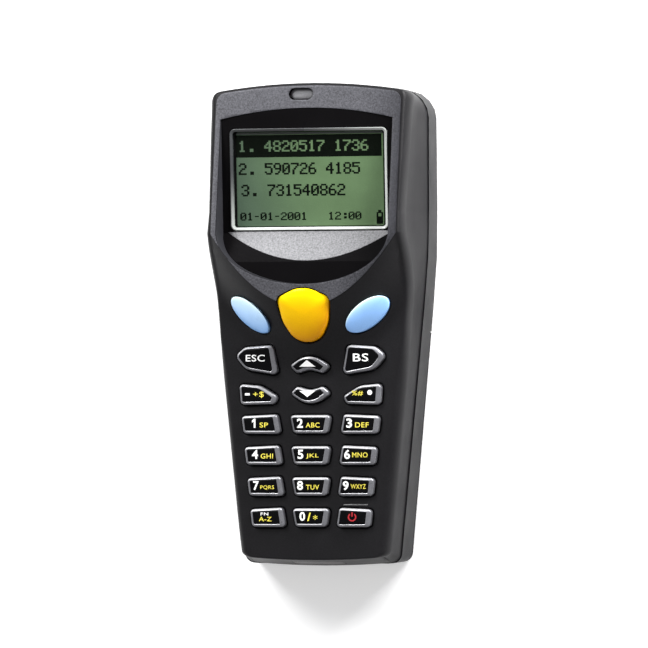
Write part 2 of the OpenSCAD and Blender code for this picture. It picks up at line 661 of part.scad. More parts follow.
// the latch's T section and its track
module latch_section(gap) {
  g = gap;
  polygon([[-latch_h / 2 + latch_lip - g, -1], [latch_h / 2 - latch_lip + g, -1], [latch_h / 2 - latch_lip + g, 1 - g],
    [latch_h / 2 + g, 1 - g], [latch_h / 2 + g, latch_t + g], [-latch_h / 2 - g, latch_t + g],
    [-latch_h / 2 - g, 1 - g], [-latch_h / 2 + latch_lip - g, 1 - g]]);
}
module along_x(x0, x1) {
  translate([x0, 0, 0]) rotate([90, 0, 90]) linear_extrude(x1 - x0) children();
}
module rear_shell() {
  color(shell_colour) difference() {
    union() {
      difference() {
        back_form();
        back_form(wall, seam_z + 2);
        cover_zone(slide_gap / 2);
      }
      intersection() {
        back_form(wall / 2, seam_z, bare);
        union() {
          tray();
          window_frame();
          translate([-12, cover_y + slide_gap, wall / 2]) cube([24, 12.4, pad_floor - wall / 2]);
          both_sides(head_screw) translate([0, 0, wall / 2]) cylinder(d = boss_d, h = seam_z - wall / 2, $fn = 32);
          both_sides(ear_screw) translate([0, 0, wall / 2]) cylinder(d = ear_post_d, h = ear_low - wall / 2, $fn = 24);
          both_sides(tail_screw) translate([0, 0, boss_low]) cylinder(d = boss_d, h = seam_z - boss_low, $fn = 32);
          both_sides(tail_screw) translate([0, -1, boss_low]) cube([6, 2, seam_z - boss_low]);
        }
      }
      well(well_wall, tray_low, well_top + well_wall);
    }
    well(0, 0, well_top);
    window_cut();
    // slots for the cover's rails, open at the tail
    for (s = [-1, 1]) along_y(-body_l, cover_y - 2) scale([s, 1])
      polygon([[rail_x - rail_t / 2 - slide_gap, 0], [rail_x + rail_t / 2 + slide_gap, 0],
        [rail_x + rail_t / 2 + slide_gap, tray_top], [rail_x - rail_t / 2 + foot_w + slide_gap, tray_top],
        [rail_x - rail_t / 2 + foot_w + slide_gap, tray_top + foot_t + 2 * slide_gap],
        [rail_x - rail_t / 2 - slide_gap, tray_top + foot_t + 2 * slide_gap]]);
    // screw bores and head seats
    both_sides(ear_screw) translate([0, 0, wall / 2]) cylinder(d = board_screw_d, h = ear_low, $fn = 24);
    both_sides(head_screw) translate([0, 0, -1]) cylinder(d = head_d + 0.4, h = head_seat + 1, $fn = 32);
    both_sides(head_screw) translate([0, 0, -1]) cylinder(d = screw_d + 0.3, h = seam_z + 2, $fn = 24);
    both_sides(tail_screw) translate([0, 0, boss_low - 1]) cylinder(d = head_d + 0.4, h = tail_seat - boss_low + 1, $fn = 32);
    both_sides(tail_screw) translate([0, 0, boss_low - 1]) cylinder(d = screw_d + 0.3, h = seam_z, $fn = 24);
    // latch track and the place of the cover's tab
    translate([0, latch_y, 0]) along_x(-latch_w / 2 - 2.6 - slide_gap, tab_x) latch_section(slide_gap);
    translate([tab_x - slide_gap, cover_y - 1, -1]) cube([tab_w + 2 * slide_gap, tab_l + 1 + slide_gap, cover_t + 1.2]);
    // strap pocket with its pin holes, and the charge pads' seats
    tail_block(0, pocket_z, pocket_w, pocket_h, -body_l, -body_l / 2 + pocket_depth);
    translate([-pocket_w / 2 - 1.3, -body_l / 2 + 1.3, pocket_z]) rotate([0, 90, 0])
      cylinder(d = pin_d + 0.1, h = pocket_w + 2.6, $fn = 24);
    for (s = [-1, 1]) tail_block(s * pad_x, pocket_z, pad_size + 2 * fit, pad_size + 2 * fit, -body_l, tail_end + pad_t);
  }
}

module display_bezel() {
  color(black_gloss) difference() {
    display_block(-fit, -bezel_t + 0.02, 0);
    on_display(lens_proud - lens_t) linear_extrude(6)
      polygon(rounded([for (c = [[-1, -1], [1, -1], [1, 1], [-1, 1]]) [c.x * (lens_w / 2 + fit), c.y * (lens_h / 2 + fit),
        lens_r]], 4));
    on_display(-8) rounded_box([view_w, view_h, 30], 1);
    chin_block(fit, 0.02);
  }
}
view_w = screen_w + 0.8;
view_h = lens_h - 2 * screen_edge;
// the chin plate's crescent, grown by a gap
chin_plate_t = 0.7;
function chin_points(d = 0) = let (w = recess_w - 0.5, y1 = chin_top - 0.2, y0 = chin_end + 0.2)
  grow(concat([for (i = [-8 : 8]) let (x = w * i / 8) [x, y0 + (y1 - y0) * pow(x / w, 2)]], [[0, y1 + 0.01]]), d);
module chin_block(gap, lift) {
  intersection() {
    prism(chin_points(gap), 0, ridge_z + 4);
    rotate([90, 0, 90]) translate([0, 0, -body_w]) linear_extrude(2 * body_w)
      polygon([[chin_end, strip_z - chin_plate_t], [chin_top, floor_z(chin_top) - chin_plate_t],
        [chin_top, floor_z(chin_top) + lift], [chin_end, strip_z + lift]]);
  }
}
module chin_plate() {
  color(silver) chin_block(0, 0);
}
module display_lens() {
  color([0.75, 0.82, 0.78, 0.4]) on_display(lens_proud - lens_t) linear_extrude(lens_t)
    polygon(rounded([for (c = [[-1, -1], [1, -1], [1, 1], [-1, 1]]) [c.x * lens_w / 2, c.y * lens_h / 2, lens_r]], 4));
}
module lcd_panel() {
  color([0.42, 0.52, 0.38]) on_display(-bezel_t - glass_gap - glass_t)
    translate([-glass_w / 2, -glass_h / 2, 0]) cube([glass_w, glass_h, glass_t]);
}
module lcd_frame() {
  color([0.9, 0.9, 0.88]) difference() {
    intersection() {
      translate([-glass_w / 2, lens_y - glass_h / 2, board_top + 0.05]) cube([glass_w, glass_h, 12]);
      on_display(-bezel_t - glass_gap - glass_t - 0.05 - 20) translate([-30, -30, 0]) cube([60, 60, 20]);
    }
    translate([-glass_w / 2 + 1.5, lens_y - glass_h / 2 + 1.5, board_top - 1]) cube([glass_w - 3, glass_h - 3, 2.2]);
  }
}
module status_light() {
  h = front(light_x, light_y) - light_low - 0.5;
  color([0.8, 0.8, 0.8]) translate([light_x, light_y, light_low])
    linear_extrude(h) slot_shape(light_w - 2 * fit, light_h - 2 * fit);
}

// ---- electronics ----------------------------------------------------------
board_edge = wall + draft * (board_top + mat_t - seam_z) + 0.4;
board_low = number_row(3) - 3.6;
board_high = nose_end - 4.4;
board_turn = board_high - 8;
board_tongue = tail_end + wall + 2;
function board_side(s) = [for (i = [0 : 8]) let (y = mix(board_low, board_turn, i / 8)) [s * (half_w(y) - board_edge), y]];
module board_outline() {
  end_w = half_w(board_turn) - board_edge - 5;
  difference() {
    union() {
      polygon(concat(board_side(1), [[end_w, board_high], [-end_w, board_high]], [for (i = [8 : -1 : 0]) board_side(-1)[i]]));
      translate([-ir_w / 2, board_tongue]) square([ir_w, board_low - board_tongue + 2]);
    }
    for (s = [-1, 1]) for (p = [head_screw, tail_screw]) translate([s * p.x, p.y]) circle(d = boss_d + 0.8, $fn = 32);
  }
}
module main_board() {
  color(board_green) difference() {
    translate([0, 0, board_z]) linear_extrude(board_t) board_outline();
    both_sides(board_screw_low) translate([0, 0, board_z - 1]) cylinder(d = board_screw_d + 0.3, h = 4, $fn = 24);
    both_sides(board_screw_high) translate([0, 0, board_z - 1]) cylinder(d = board_screw_d + 0.3, h = 4, $fn = 24);
  }
}
module board_parts() {
  color([0.12, 0.12, 0.13]) {
    translate([-6, 6, board_z - 1.4]) cube([12, 12, 1.4]);
    translate([8, 2, board_z - 1.2]) cube([8, 12, 1.2]);
    translate([-17, 0, board_z - 1.2]) cube([6, 9, 1.2]);
    translate([-11, engine_y - 12.4, board_z - 1]) cube([22, 3, 1]);
    translate([-4, board_tongue + 0.8, board_top]) cube([8, 2.6, 1.6]);
  }
}
module keypad_mat() {
  mat_high = trigger_y + 11;
  color([0.32, 0.33, 0.35]) difference() {
    translate([0, 0, board_top]) linear_extrude(mat_t) intersection() {
      board_outline();
      translate([-body_w, board_low + 0.2]) square([2 * body_w, mat_high - board_low]);
    }
    for (k = KEYS) translate([key_place(k).x, key_place(k).y, 0])
      translate([0, 0, board_top - 1]) cylinder(r = stem_r + key_gap + 0.1, h = mat_t + 2, $fn = 24);
    both_sides(board_screw_low) translate([0, 0, board_top - 1]) cylinder(d = post_d + 0.6, h = 4, $fn = 24);
  }
}
buzzer_size = [12, 3];
buzzer_port = 2;
coin_size = [12.5, 2];
coin_cap = [11.4, 0.6];
module buzzer() {
  h = buzzer_size[1];
  color([0.1, 0.1, 0.1]) translate([0.6 - board_screw_high.x + buzzer_size[0] / 2 + board_head_d / 2, 27, board_z - h])
    difference() {
      cylinder(d = buzzer_size[0], h = h, $fn = 48);
      translate([0, 0, -1]) cylinder(d = buzzer_port, h = 1 + h / 2, $fn = 24);
    }
}
module backup_cell() {
  reach = coin_size[0] / 2 + board_head_d / 2 + 0.8;
  color(steel) translate([board_screw_high.x - reach, 27, board_z - coin_size[1] - coin_cap[1]]) {
    cylinder(d = coin_cap[0], h = coin_cap[1], $fn = 48);
    translate([0, 0, coin_cap[1]]) cylinder(d = coin_size[0], h = coin_size[1], $fn = 48);
  }
}

// ---- scan end -------------------------------------------------------------
module scan_window() {
  color([0.35, 0.05, 0.08, 0.7]) window_block([window_w, window_h], window_r, window_seat, window_seat + window_t);
}
module scan_engine() {
  s = engine_size;
  color([0.2, 0.2, 0.22]) difference() {
    translate([-s.x / 2, engine_y - s.y / 2, engine_low]) cube(s);
    translate([-s.x / 2 + 1.2, engine_y, engine_low + 1.6]) cube([s.x - 9, s.y, s.z - 3.2]);
    translate([s.x / 2 - 4.2, engine_y + s.y / 2 + 1, engine_low + s.z / 2]) rotate([90, 0, 0])
      cylinder(d = 4.4, h = 4, $fn = 32);
  }
}
module engine_bracket() {
  s = engine_size;
  ear_x = ear_screw.x;
  color(steel) difference() {
    union() {
      translate([-ear_x - 2.6, engine_y - 4.5, engine_low - bracket_t]) cube([2 * ear_x + 5.2, 8, bracket_t]);
      for (m = [-1, 1]) translate([m * (s.x / 2 + bracket_t / 2 + 0.1) - bracket_t / 2, engine_y - 4.5,
        engine_low - bracket_t]) cube([bracket_t, 8, 7]);
    }
    both_sides(ear_screw) translate([0, 0, engine_low - 3]) cylinder(d = board_screw_d + 0.3, h = 5, $fn = 24);
  }
}

// ---- battery --------------------------------------------------------------
module battery_cover() {
  color(shell_colour) {
    difference() {
      intersection() {
        back_form();
        cover_zone(-slide_gap / 2);
      }
      for (i = [0 : 4]) translate([-11, cover_y - 9 - 2.2 * i, -0.6]) cube([22, 1, 1]);
    }
    for (s = [-1, 1]) along_y(tail_end + 1, cover_y - 4) scale([s, 1])
      polygon([[rail_x - rail_t / 2, cover_t - 0.3], [rail_x + rail_t / 2, cover_t - 0.3],
        [rail_x + rail_t / 2, tray_top + slide_gap], [rail_x - rail_t / 2 + foot_w, tray_top + slide_gap],
        [rail_x - rail_t / 2 + foot_w, tray_top + slide_gap + foot_t], [rail_x - rail_t / 2, tray_top + slide_gap + foot_t]]);
    // the tab that the latch holds
    difference() {
      translate([tab_x, cover_y - 2, 0]) cube([tab_w, tab_l + 2 - slide_gap, cover_t - slide_gap / 2]);
      translate([tab_x - 1, latch_y - nose_w / 2 - slide_gap, -1])
        cube([1 + latch_travel, nose_w + 2 * slide_gap, cover_t + 2]);
    }
  }
}
module cover_latch() {
  color([0.3, 0.3, 0.33]) translate([0, latch_y, 0]) {
    difference() {
      along_x(-latch_w / 2 - 2.4, latch_w / 2 - 2.6) latch_section(0);
      translate([-20, -10, -2]) cube([40, 20, 2.3]);
      for (i = [-2 : 2]) translate([i * 1.1 - 2.7, -5, -0.1]) cube([0.5, 10, 0.8]);
    }
    translate([latch_w / 2 - 2.7, -nose_w / 2, 1.1]) cube([tab_x - slide_gap - latch_w / 2 + 2.7, nose_w, latch_t - 1.1]);
  }
}
// a cell along Y with its tip at the end that s points to
module cell(s) {
  rotate([-90 * s, 0, 0]) translate([0, 0, -cell_l / 2]) rotate_extrude($fn = 48)
    polygon([[0, 0], [cell_d / 2 - 0.4, 0], [cell_d / 2, 0.4], [cell_d / 2, cell_l - tip_l - 0.4],
      [cell_d / 2 - 0.4, cell_l - tip_l], [1.9, cell_l - tip_l], [1.9, cell_l], [0, cell_l]]);
}
module battery_left() {
  color([0.75, 0.5, 0.2]) translate([-cell_x, cell_y + spring_l / 2, cell_z]) cell(1);
}
module battery_right() {
  color([0.75, 0.5, 0.2]) translate([cell_x, cell_y - spring_l / 2, cell_z]) cell(-1);
}

// a wire through points, five-sided
function wire_ring(P, i, d) = let (a = P[max(i - 1, 0)], b = P[min(i + 1, len(P) - 1)], t = unit(b - a),
    u = unit(cross(t, [0, 1, 0])), v = cross(t, u))
  [for (k = [0 : 4]) P[i] + d / 2 * (cos(72 * k) * u + sin(72 * k) * v)];
spring_wire = 0.5;
spring_turns = 2.5;
module spring(y0, y1, x) {
  n = 10 * spring_turns;
  P = [for (i = [0 : n]) let (t = i / n, r = mix(3.4, 2, t), a = 36 * i)
    [x + r * cos(a), mix(y0, y1, t), cell_z + r * sin(a)]];
  skin([for (i = [0 : n]) wire_ring(P, i, spring_wire)]);
}
module contact_springs() {
  low = well_low + contact_t + 0.05 + spring_wire / 2;
  high = well_high - contact_t - 0.05 - spring_wire / 2;
  color(steel) {
    spring(low, low + spring_l - spring_wire, -cell_x);
    spring(high, high - spring_l + spring_wire, cell_x);
  }
}
module contact_plates() {
  plate = [9, contact_t, 9];
  color(steel) for (s = [-1, 1]) {
    translate([s * cell_x - plate.x / 2, well_low, cell_z - plate.z / 2]) cube(plate);
    translate([s * cell_x - plate.x / 2, well_high - contact_t, cell_z - plate.z / 2]) cube(plate);
  }
}

// ---- fasteners and small pieces -------------------------------------------
// a screw that points up, its head's upper face at seat and its tip at tip
module screw(d, head, thick, seat, tip) {
  difference() {
    union() {
      translate([0, 0, seat - thick]) cylinder(d = head, h = thick, $fn = 32);
      translate([0, 0, seat - 0.1]) cylinder(d = d, h = tip - seat + 0.1, $fn = 24);
    }
    translate([0, 0, seat - thick - 1]) cylinder(d = head / 2, h = 1 + thick / 2, $fn = 6);
  }
}
module housing_screws() {
  color(steel) {
    both_sides(head_screw) screw(screw_d - 0.1, head_d, head_t, head_seat, seam_z + 7.4);
    both_sides(tail_screw) screw(screw_d - 0.1, head_d, head_t, tail_seat, seam_z + 6);
  }
}
module board_screws() {
  d = board_screw_d - 0.1;
  color(steel) {
    both_sides(board_screw_low) screw(d, board_head_d, 1.1, board_z, board_top + 2.6);
    both_sides(board_screw_high) screw(d, board_head_d, 1.1, board_z, board_top + 2.6);
    both_sides(ear_screw) translate([0, 0, 2 * engine_low]) mirror([0, 0, 1])
      screw(d, board_head_d, 1.1, engine_low, 2 * engine_low - wall / 2 - 0.4);
  }
}
module strap_pin() {
  color(steel) translate([-pocket_w / 2 - 1.2, -body_l / 2 + 1.3, pocket_z]) rotate([0, 90, 0])
    cylinder(d = pin_d, h = pocket_w + 2.4, $fn = 24);
}
module ir_window() {
  color([0.12, 0.02, 0.03]) tail_block(0, ir_z, ir_w, ir_h, -body_l / 2 + 0.4, -body_l / 2 + 0.4 + ir_t);
}
module charge_contacts() {
  color(gold) for (s = [-1, 1])
    tail_block(s * pad_x, pocket_z, pad_size, pad_size, tail_end - 0.5, tail_end + pad_t);
}

front_shell();
rear_shell();
display_bezel();
chin_plate();
display_lens();
lcd_panel();
lcd_frame();
status_light();
head_plate();
main_board();
board_parts();
keypad_mat();
buzzer();
backup_cell();
scan_window();
scan_engine();
engine_bracket();
battery_cover();
cover_latch();
battery_left();
battery_right();
contact_springs();
contact_plates();
housing_screws();
board_screws();
strap_pin();
ir_window();
charge_contacts();
trigger_key();
enter_key("enter_left");  // enter_left
enter_key("enter_right");  // enter_right
plain_key("escape_key");  // escape_key
plain_key("backspace_key");  // backspace_key
plain_key("up_key");  // up_key
plain_key("down_key");  // down_key
plain_key("minus_key");  // minus_key
plain_key("percent_key");  // percent_key
plain_key("number_1");  // number_1
plain_key("number_2");  // number_2
plain_key("number_3");  // number_3
plain_key("number_4");  // number_4
plain_key("number_5");  // number_5
plain_key("number_6");  // number_6
plain_key("number_7");  // number_7
plain_key("number_8");  // number_8
plain_key("number_9");  // number_9
plain_key("alpha_key");  // alpha_key
plain_key("number_0");  // number_0
plain_key("power_key");  // power_key
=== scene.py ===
# Looks of the hand-held data terminal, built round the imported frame.
# Lengths are in millimetres, and become metres when a mesh is made.
import json
import math
import bmesh
import bpy
import numpy as np
from mathutils import Matrix, Vector


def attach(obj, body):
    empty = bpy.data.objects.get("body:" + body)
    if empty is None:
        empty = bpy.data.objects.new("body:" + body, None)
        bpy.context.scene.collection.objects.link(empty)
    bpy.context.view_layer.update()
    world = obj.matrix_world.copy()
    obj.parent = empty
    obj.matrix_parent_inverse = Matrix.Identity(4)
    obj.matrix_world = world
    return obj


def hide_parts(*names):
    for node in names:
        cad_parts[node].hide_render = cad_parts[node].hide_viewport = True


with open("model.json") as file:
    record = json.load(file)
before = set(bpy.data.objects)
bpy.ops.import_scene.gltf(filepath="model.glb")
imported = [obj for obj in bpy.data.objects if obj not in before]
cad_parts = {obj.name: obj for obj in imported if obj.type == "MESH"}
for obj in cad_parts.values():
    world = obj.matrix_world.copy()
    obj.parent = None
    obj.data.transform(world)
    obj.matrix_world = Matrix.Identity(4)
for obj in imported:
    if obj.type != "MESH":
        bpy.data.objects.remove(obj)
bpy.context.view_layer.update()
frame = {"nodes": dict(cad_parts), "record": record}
mm = 0.001
print("frame loaded:", len(frame["nodes"]), "nodes")


# several arrays as one, end to end
def arrayOf(*parts):
    return np.concatenate([np.asarray(p, float) for p in parts])


# grid of rows by columns as quads with their corners in turning order; wrapped, its last column
# meets the first
def gridQuads(rows, cols, wrapped=False):
    a, b = np.meshgrid(np.arange(rows - 1), np.arange(cols if wrapped else cols - 1), indexing="ij")
    b2 = (b + 1) % cols
    quads = np.stack([a * cols + b, a * cols + b2, (a + 1) * cols + b2, (a + 1) * cols + b], -1)
    return quads.reshape(-1, 4).tolist()


# a mesh object from points in millimetres
def makePiece(name, points, faces, material=None, sharpAngle=35):
    mesh = bpy.data.meshes.new(name)
    mesh.from_pydata((np.asarray(points, float) * mm).tolist(), [], faces)
    mesh.update()
    piece = bpy.data.objects.new(name, mesh)
    bpy.context.scene.collection.objects.link(piece)
    smoothByAngle(piece, sharpAngle)
    if material:
        mesh.materials.append(material)
    return piece


# smooth faces, with sharp edges where they turn by more than the angle
def smoothByAngle(piece, angle):
    piece.data.polygons.foreach_set("use_smooth", [True] * len(piece.data.polygons))
    piece.data.set_sharp_from_angle(angle=math.radians(angle))


# works the modifiers into the mesh
def applyAll(piece):
    deps = bpy.context.evaluated_depsgraph_get()
    mesh = bpy.data.meshes.new_from_object(piece.evaluated_get(deps))
    old = piece.data
    piece.modifiers.clear()
    piece.data = mesh
    bpy.data.meshes.remove(old)


# takes the other forms out of the piece, or keeps what it shares with them; they go away
def combine(piece, operation, others):
    for other in others:
        step = piece.modifiers.new("cut", "BOOLEAN")
        step.operation = operation
        step.solver = "MANIFOLD"
        step.object = other
    applyAll(piece)
    for other in others:
        bpy.data.objects.remove(other)


# softens the edges that turn by more than the angle
def roundEdges(piece, width, angle):
    edge = piece.modifiers.new("edge", "BEVEL")
    edge.width = width * mm
    edge.segments = 2
    edge.limit_method = "ANGLE"
    edge.angle_limit = math.radians(angle)
    edge.use_clamp_overlap = True
    applyAll(piece)
    smoothByAngle(piece, 40)


# one material over the whole piece
def dress(piece, material):
    piece.data.materials.clear()
    piece.data.materials.append(material)


# puts a finished piece on its body, and hides the nodes that it stands for
def settle(piece, body, nodes=()):
    if nodes:
        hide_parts(*nodes)
    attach(piece, body)


# polygon with rounded corners from [x, y, radius] points that run anticlockwise:
# each corner becomes an arc that touches both of its edges
def roundedOutline(corners, steps=8):
    out = []
    count = len(corners)
    for i in range(count):
        p, a, b = (np.array(corners[k % count][:2], float) for k in (i, i - 1, i + 1))
        radius = corners[i][2]
        u = (a - p) / np.linalg.norm(a - p)
        v = (b - p) / np.linalg.norm(b - p)
        half = math.acos(np.clip(u @ v, -1, 1)) / 2
        centre = p + (u + v) / np.linalg.norm(u + v) * radius / math.sin(half)
        start = p + u * radius / math.tan(half)
        end = p + v * radius / math.tan(half)
        first = math.atan2(*(start - centre)[::-1])
        turn = (math.atan2(*(end - centre)[::-1]) - first + 3 * math.pi) % (2 * math.pi) - math.pi
        t = first + turn * np.linspace(0, 1, steps + 1)
        out.append(centre + radius * np.stack([np.cos(t), np.sin(t)], 1))
    return np.concatenate(out)


# rectangle round the middle with rounded corners
def rectOutline(w, h, radius, steps=8):
    x, y = w / 2, h / 2
    return roundedOutline([(-x, -y, radius), (x, -y, radius), (x, y, radius), (-x, y, radius)], steps)


# slot round the middle: two half circles and the straight lines between them
def slotOutline(w, h, count=12):
    t = np.radians(np.linspace(-90, 90, count))
    right = np.stack([(w - h) / 2 + h / 2 * np.cos(t), h / 2 * np.sin(t)], 1)
    return np.concatenate([right, -right])


# outline moved outwards by d: each point goes along the mean of its two edges' normals
def grown(outline, d):
    a = outline - np.roll(outline, 1, 0)
    b = np.roll(outline, -1, 0) - outline
    a /= np.linalg.norm(a, axis=1)[:, None]
    b /= np.linalg.norm(b, axis=1)[:, None]
    normal = np.stack([a[:, 1] + b[:, 1], -a[:, 0] - b[:, 0]], 1)
    return outline + d * normal / (1 + (a * b).sum(1))[:, None]


# the outline with points spread evenly along it, so that skins have even quads
def evened(outline, count):
    closed = np.vstack([outline, outline[:1]])
    run = arrayOf([0], np.cumsum(np.linalg.norm(np.diff(closed, axis=0), axis=1)))
    at = np.linspace(0, run[-1], count, endpoint=False)
    return np.stack([np.interp(at, run, closed[:, k]) for k in (0, 1)], 1)


# the outline with a height, one for all or one for each point
def ringAt(outline, z):
    return np.column_stack([outline, np.broadcast_to(z, len(outline))])


# shares of a quarter turn: how far a round has gone in, and how far it is still below its top
def quarterTurn(count):
    t = np.radians(np.linspace(0, 90, count))
    return [(1 - math.cos(a), 1 - math.sin(a)) for a in t]


# skin through closed rings of equal length; capped, flat faces close its two ends
def skin(name, rings, material=None, sharpAngle=35, capped=True):
    rings = np.asarray(rings, float)
    m, n = rings.shape[:2]
    faces = gridQuads(m, n, wrapped=True)
    if capped:
        faces += [list(range(n))[::-1], list(range((m - 1) * n, m * n))]
    return makePiece(name, rings.reshape(-1, 3), faces, material, sharpAngle)


# upright prism over an outline
def prism(name, outline, low, high):
    return skin(name, [ringAt(outline, low), ringAt(outline, high)])


# box between two corners
def block(name, low, high):
    (x0, y0, z0), (x1, y1, z1) = low, high
    return prism(name, np.array([[x0, y0], [x1, y0], [x1, y1], [x0, y1]]), z0, z1)


# an empty node group with its sockets, and its input and output nodes
def newGroup(name, inputs, outputs):
    group = bpy.data.node_groups.new(name, "ShaderNodeTree")
    for key, kind, value in inputs:
        socket = group.interface.new_socket(name=key, in_out="INPUT", socket_type="NodeSocket" + kind)
        if value is not None:
            socket.default_value = value
    for key, kind in outputs:
        group.interface.new_socket(name=key, in_out="OUTPUT", socket_type="NodeSocket" + kind)
    return group, group.nodes.new("NodeGroupInput"), group.nodes.new("NodeGroupOutput")


# values for a node's inputs, by name or number
def setInputs(node, values):
    for key, value in values.items():
        node.inputs[key].default_value = value


# a new node with its settings, then its inputs
def addNode(tree, kind, values=None, **settings):
    node = tree.nodes.new("ShaderNode" + kind)
    for key, value in settings.items():
        setattr(node, key, value)
    setInputs(node, values or {})
    return node


# each row is a node and its output, and the node and input that it feeds
def wire(tree, *rows):
    for source, output, sink, into in rows:
        tree.links.new(source.outputs[output], sink.inputs[into])


mixShare, mixFirst, mixSecond, mixResult = 0, 6, 7, 2  # sockets of a Mix node that blends colours


# moulded surface: fine grains for the bump, broad soft blotches for shade and gloss
def mouldedGroup():
    group, source, sink = newGroup("mouldedSurface",
        [("Vector", "Vector", None), ("Grain", "Float", 3200.0), ("Blotch", "Float", 90.0),
         ("Depth", "Float", 0.3), ("Speckle", "Float", 0.3)],
        [("Shade", "Float"), ("Gloss", "Float"), ("Normal", "Vector")])
    grain = addNode(group, "TexNoise", {"Detail": 2.0, "Roughness": 0.6})
    blotch = addNode(group, "TexNoise", {"Detail": 3.0})
    bump = addNode(group, "Bump", {"Distance": 0.0001})
    spread = addNode(group, "MapRange", {"From Min": 0.3, "From Max": 0.7, "To Min": -1.0, "To Max": 1.0})
    broad = addNode(group, "MapRange", {"From Min": 0.25, "From Max": 0.75, "To Min": -0.12, "To Max": 0.12})
    speck = addNode(group, "Math", operation="MULTIPLY")
    shade = addNode(group, "Math", operation="ADD")
    lift = addNode(group, "Math", {1: 1.0}, operation="ADD")
    gloss = addNode(group, "Math", {1: 0.5}, operation="MULTIPLY")
    wire(group,
        (source, "Vector", grain, "Vector"), (source, "Grain", grain, "Scale"),
        (source, "Vector", blotch, "Vector"), (source, "Blotch", blotch, "Scale"),
        (grain, "Fac", bump, "Height"), (source, "Depth", bump, "Strength"), (bump, "Normal", sink, "Normal"),
        (grain, "Fac", spread, "Value"), (blotch, "Fac", broad, "Value"),
        (spread, "Result", speck, 0), (source, "Speckle", speck, 1),
        (speck, 0, shade, 0), (broad, "Result", shade, 1), (shade, 0, lift, 0), (lift, 0, sink, "Shade"),
        (broad, "Result", gloss, 0), (gloss, 0, sink, "Gloss"))
    return group


# painted light and shade: colour that moves from one tone to another as the surface turns towards a
# direction, in place of the shading that lamps give
def paintedLightGroup():
    group, source, sink = newGroup("leaningShade",
        [("Normal", "Vector", None), ("Direction", "Vector", (0, 0, 1)), ("Low", "Float", 0.0),
         ("High", "Float", 1.0), ("Away", "Color", (1, 1, 1, 1)), ("Toward", "Color", (1, 1, 1, 1))],
        [("Colour", "Color")])
    facing = addNode(group, "VectorMath", operation="DOT_PRODUCT")
    share = addNode(group, "MapRange", interpolation_type="SMOOTHSTEP")
    blend = addNode(group, "Mix", data_type="RGBA")
    wire(group,
        (source, "Normal", facing, 0), (source, "Direction", facing, 1), (facing, "Value", share, "Value"),
        (source, "Low", share, "From Min"), (source, "High", share, "From Max"),
        (share, "Result", blend, mixShare), (source, "Away", blend, mixFirst),
        (source, "Toward", blend, mixSecond), (blend, mixResult, sink, "Colour"))
    return group


moulded = mouldedGroup()
paintedLightTree = paintedLightGroup()


# a new material with its nodes
def newMaterial(name):
    material = bpy.data.materials.new(name)
    material.use_nodes = True
    return material, material.node_tree


# a material whose colour and roughness follow the moulded surface group; toward is the second tone, painted
# light or shade, with its direction and the range over which it comes in, and across makes it follow the
# place instead, which paints shade across the piece
def finish(name, colour, roughness=0.5, specular=0.5, metallic=0.0, grain=3200.0, blotch=90.0, depth=0.25,
        speckle=0.15, coat=0.0, toward=None, across=False):
    material, tree = newMaterial(name)
    shader = tree.nodes["Principled BSDF"]
    setInputs(shader, {"Metallic": metallic, "Specular IOR Level": specular, "Coat Weight": coat,
        "Coat Roughness": 0.1})
    place = addNode(tree, "TexCoord")
    surface = addNode(tree, "Group", {"Grain": grain, "Blotch": blotch, "Depth": depth, "Speckle": speckle},
        node_tree=moulded)
    tint = addNode(tree, "Mix", {mixShare: 1.0, mixFirst: (*colour, 1.0)}, data_type="RGBA",
        blend_type="MULTIPLY")
    rough = addNode(tree, "Math", {0: roughness}, operation="ADD")
    wire(tree,
        (place, "Object", surface, "Vector"), (surface, "Normal", shader, "Normal"),
        (surface, "Shade", tint, mixSecond), (tint, mixResult, shader, "Base Color"),
        (surface, "Gloss", rough, 1), (rough, 0, shader, "Roughness"))
    # painted light or shade: the second tone by the way the surface faces, or across the piece by its place
    if toward:
        tone, direction, low, high = toward
        side = addNode(tree, "NewGeometry")
        shade = addNode(tree, "Group", {"Direction": direction, "Low": low, "High": high,
            "Away": (*colour, 1.0), "Toward": (*tone, 1.0)}, node_tree=paintedLightTree)
        wire(tree,
            (place, "Object", shade, "Normal") if across else (side, "Normal", shade, "Normal"),
            (shade, "Colour", tint, mixFirst))
    return material


# the housing's form, with the values of the part's own source and a few finer ones
form = dict(length=122.0, headWidth=56.0, tailWidth=40.4, deckZ=21.5, ridgeZ=31.0, noseZ=23.2, seamZ=11.0,
    wall=1.8, waistY=18.0, waistBlend=6.0, noseR=6.0, noseTop=2.2, tailR=2.0, noseArch=2.6, tailArch=1.0,
    archFrom=30.0, shoulder=2.5, shoulderH=4.0, headShoulder=5.0, shoulderLeast=1.2, headIn=0.55, draft=0.155,
    ridgeIn=3.9, crestY=4.4, crestBend=0.0322, slope=18.0, slopeEase=0.9, slopeLow=-14.0, slopeHigh=30.0,
    fallY=22.0, fallBlend=3.0, noseEdge=0.8, tailEdge=0.6, tailLean=1.8, tailLeanFrom=-47.0, footIn=0.3,
    footShare=0.0025)
innerPast = 2.0  # inner forms reach below the seam by this much
noseEnd = form["length"] / 2 - form["noseArch"]
tailEnd = -form["length"] / 2 + form["tailArch"]
ridgeW = form["headWidth"] / 2 - form["ridgeIn"]
cutLow, cutHigh, cutFar = 15.0, 45.0, 80.0  # cutters reach past the housing


# zero below and a straight rise above, with a bend of the width b between
def soft(d, b):
    return (d + np.sqrt(d * d + b * b)) / 2


# from 0 to 1 with level ends
def step01(t):
    s = np.clip(t, 0, 1)
    return s * s * (3 - 2 * s)


# how far a round of that radius has dropped at the share t of its width
def roundDrop(radius, t):
    return radius * (1 - np.sqrt(1 - np.clip(t, 0, 1) ** 2))


# half width: full at the head, falling in a straight line below the waist, with a soft bend between
def halfWidth(y):
    run = soft(form["waistY"] + form["length"] / 2, form["waistBlend"])
    rate = (form["headWidth"] - form["tailWidth"]) / 2 / run
    return form["headWidth"] / 2 - rate * soft(form["waistY"] - y, form["waistBlend"])


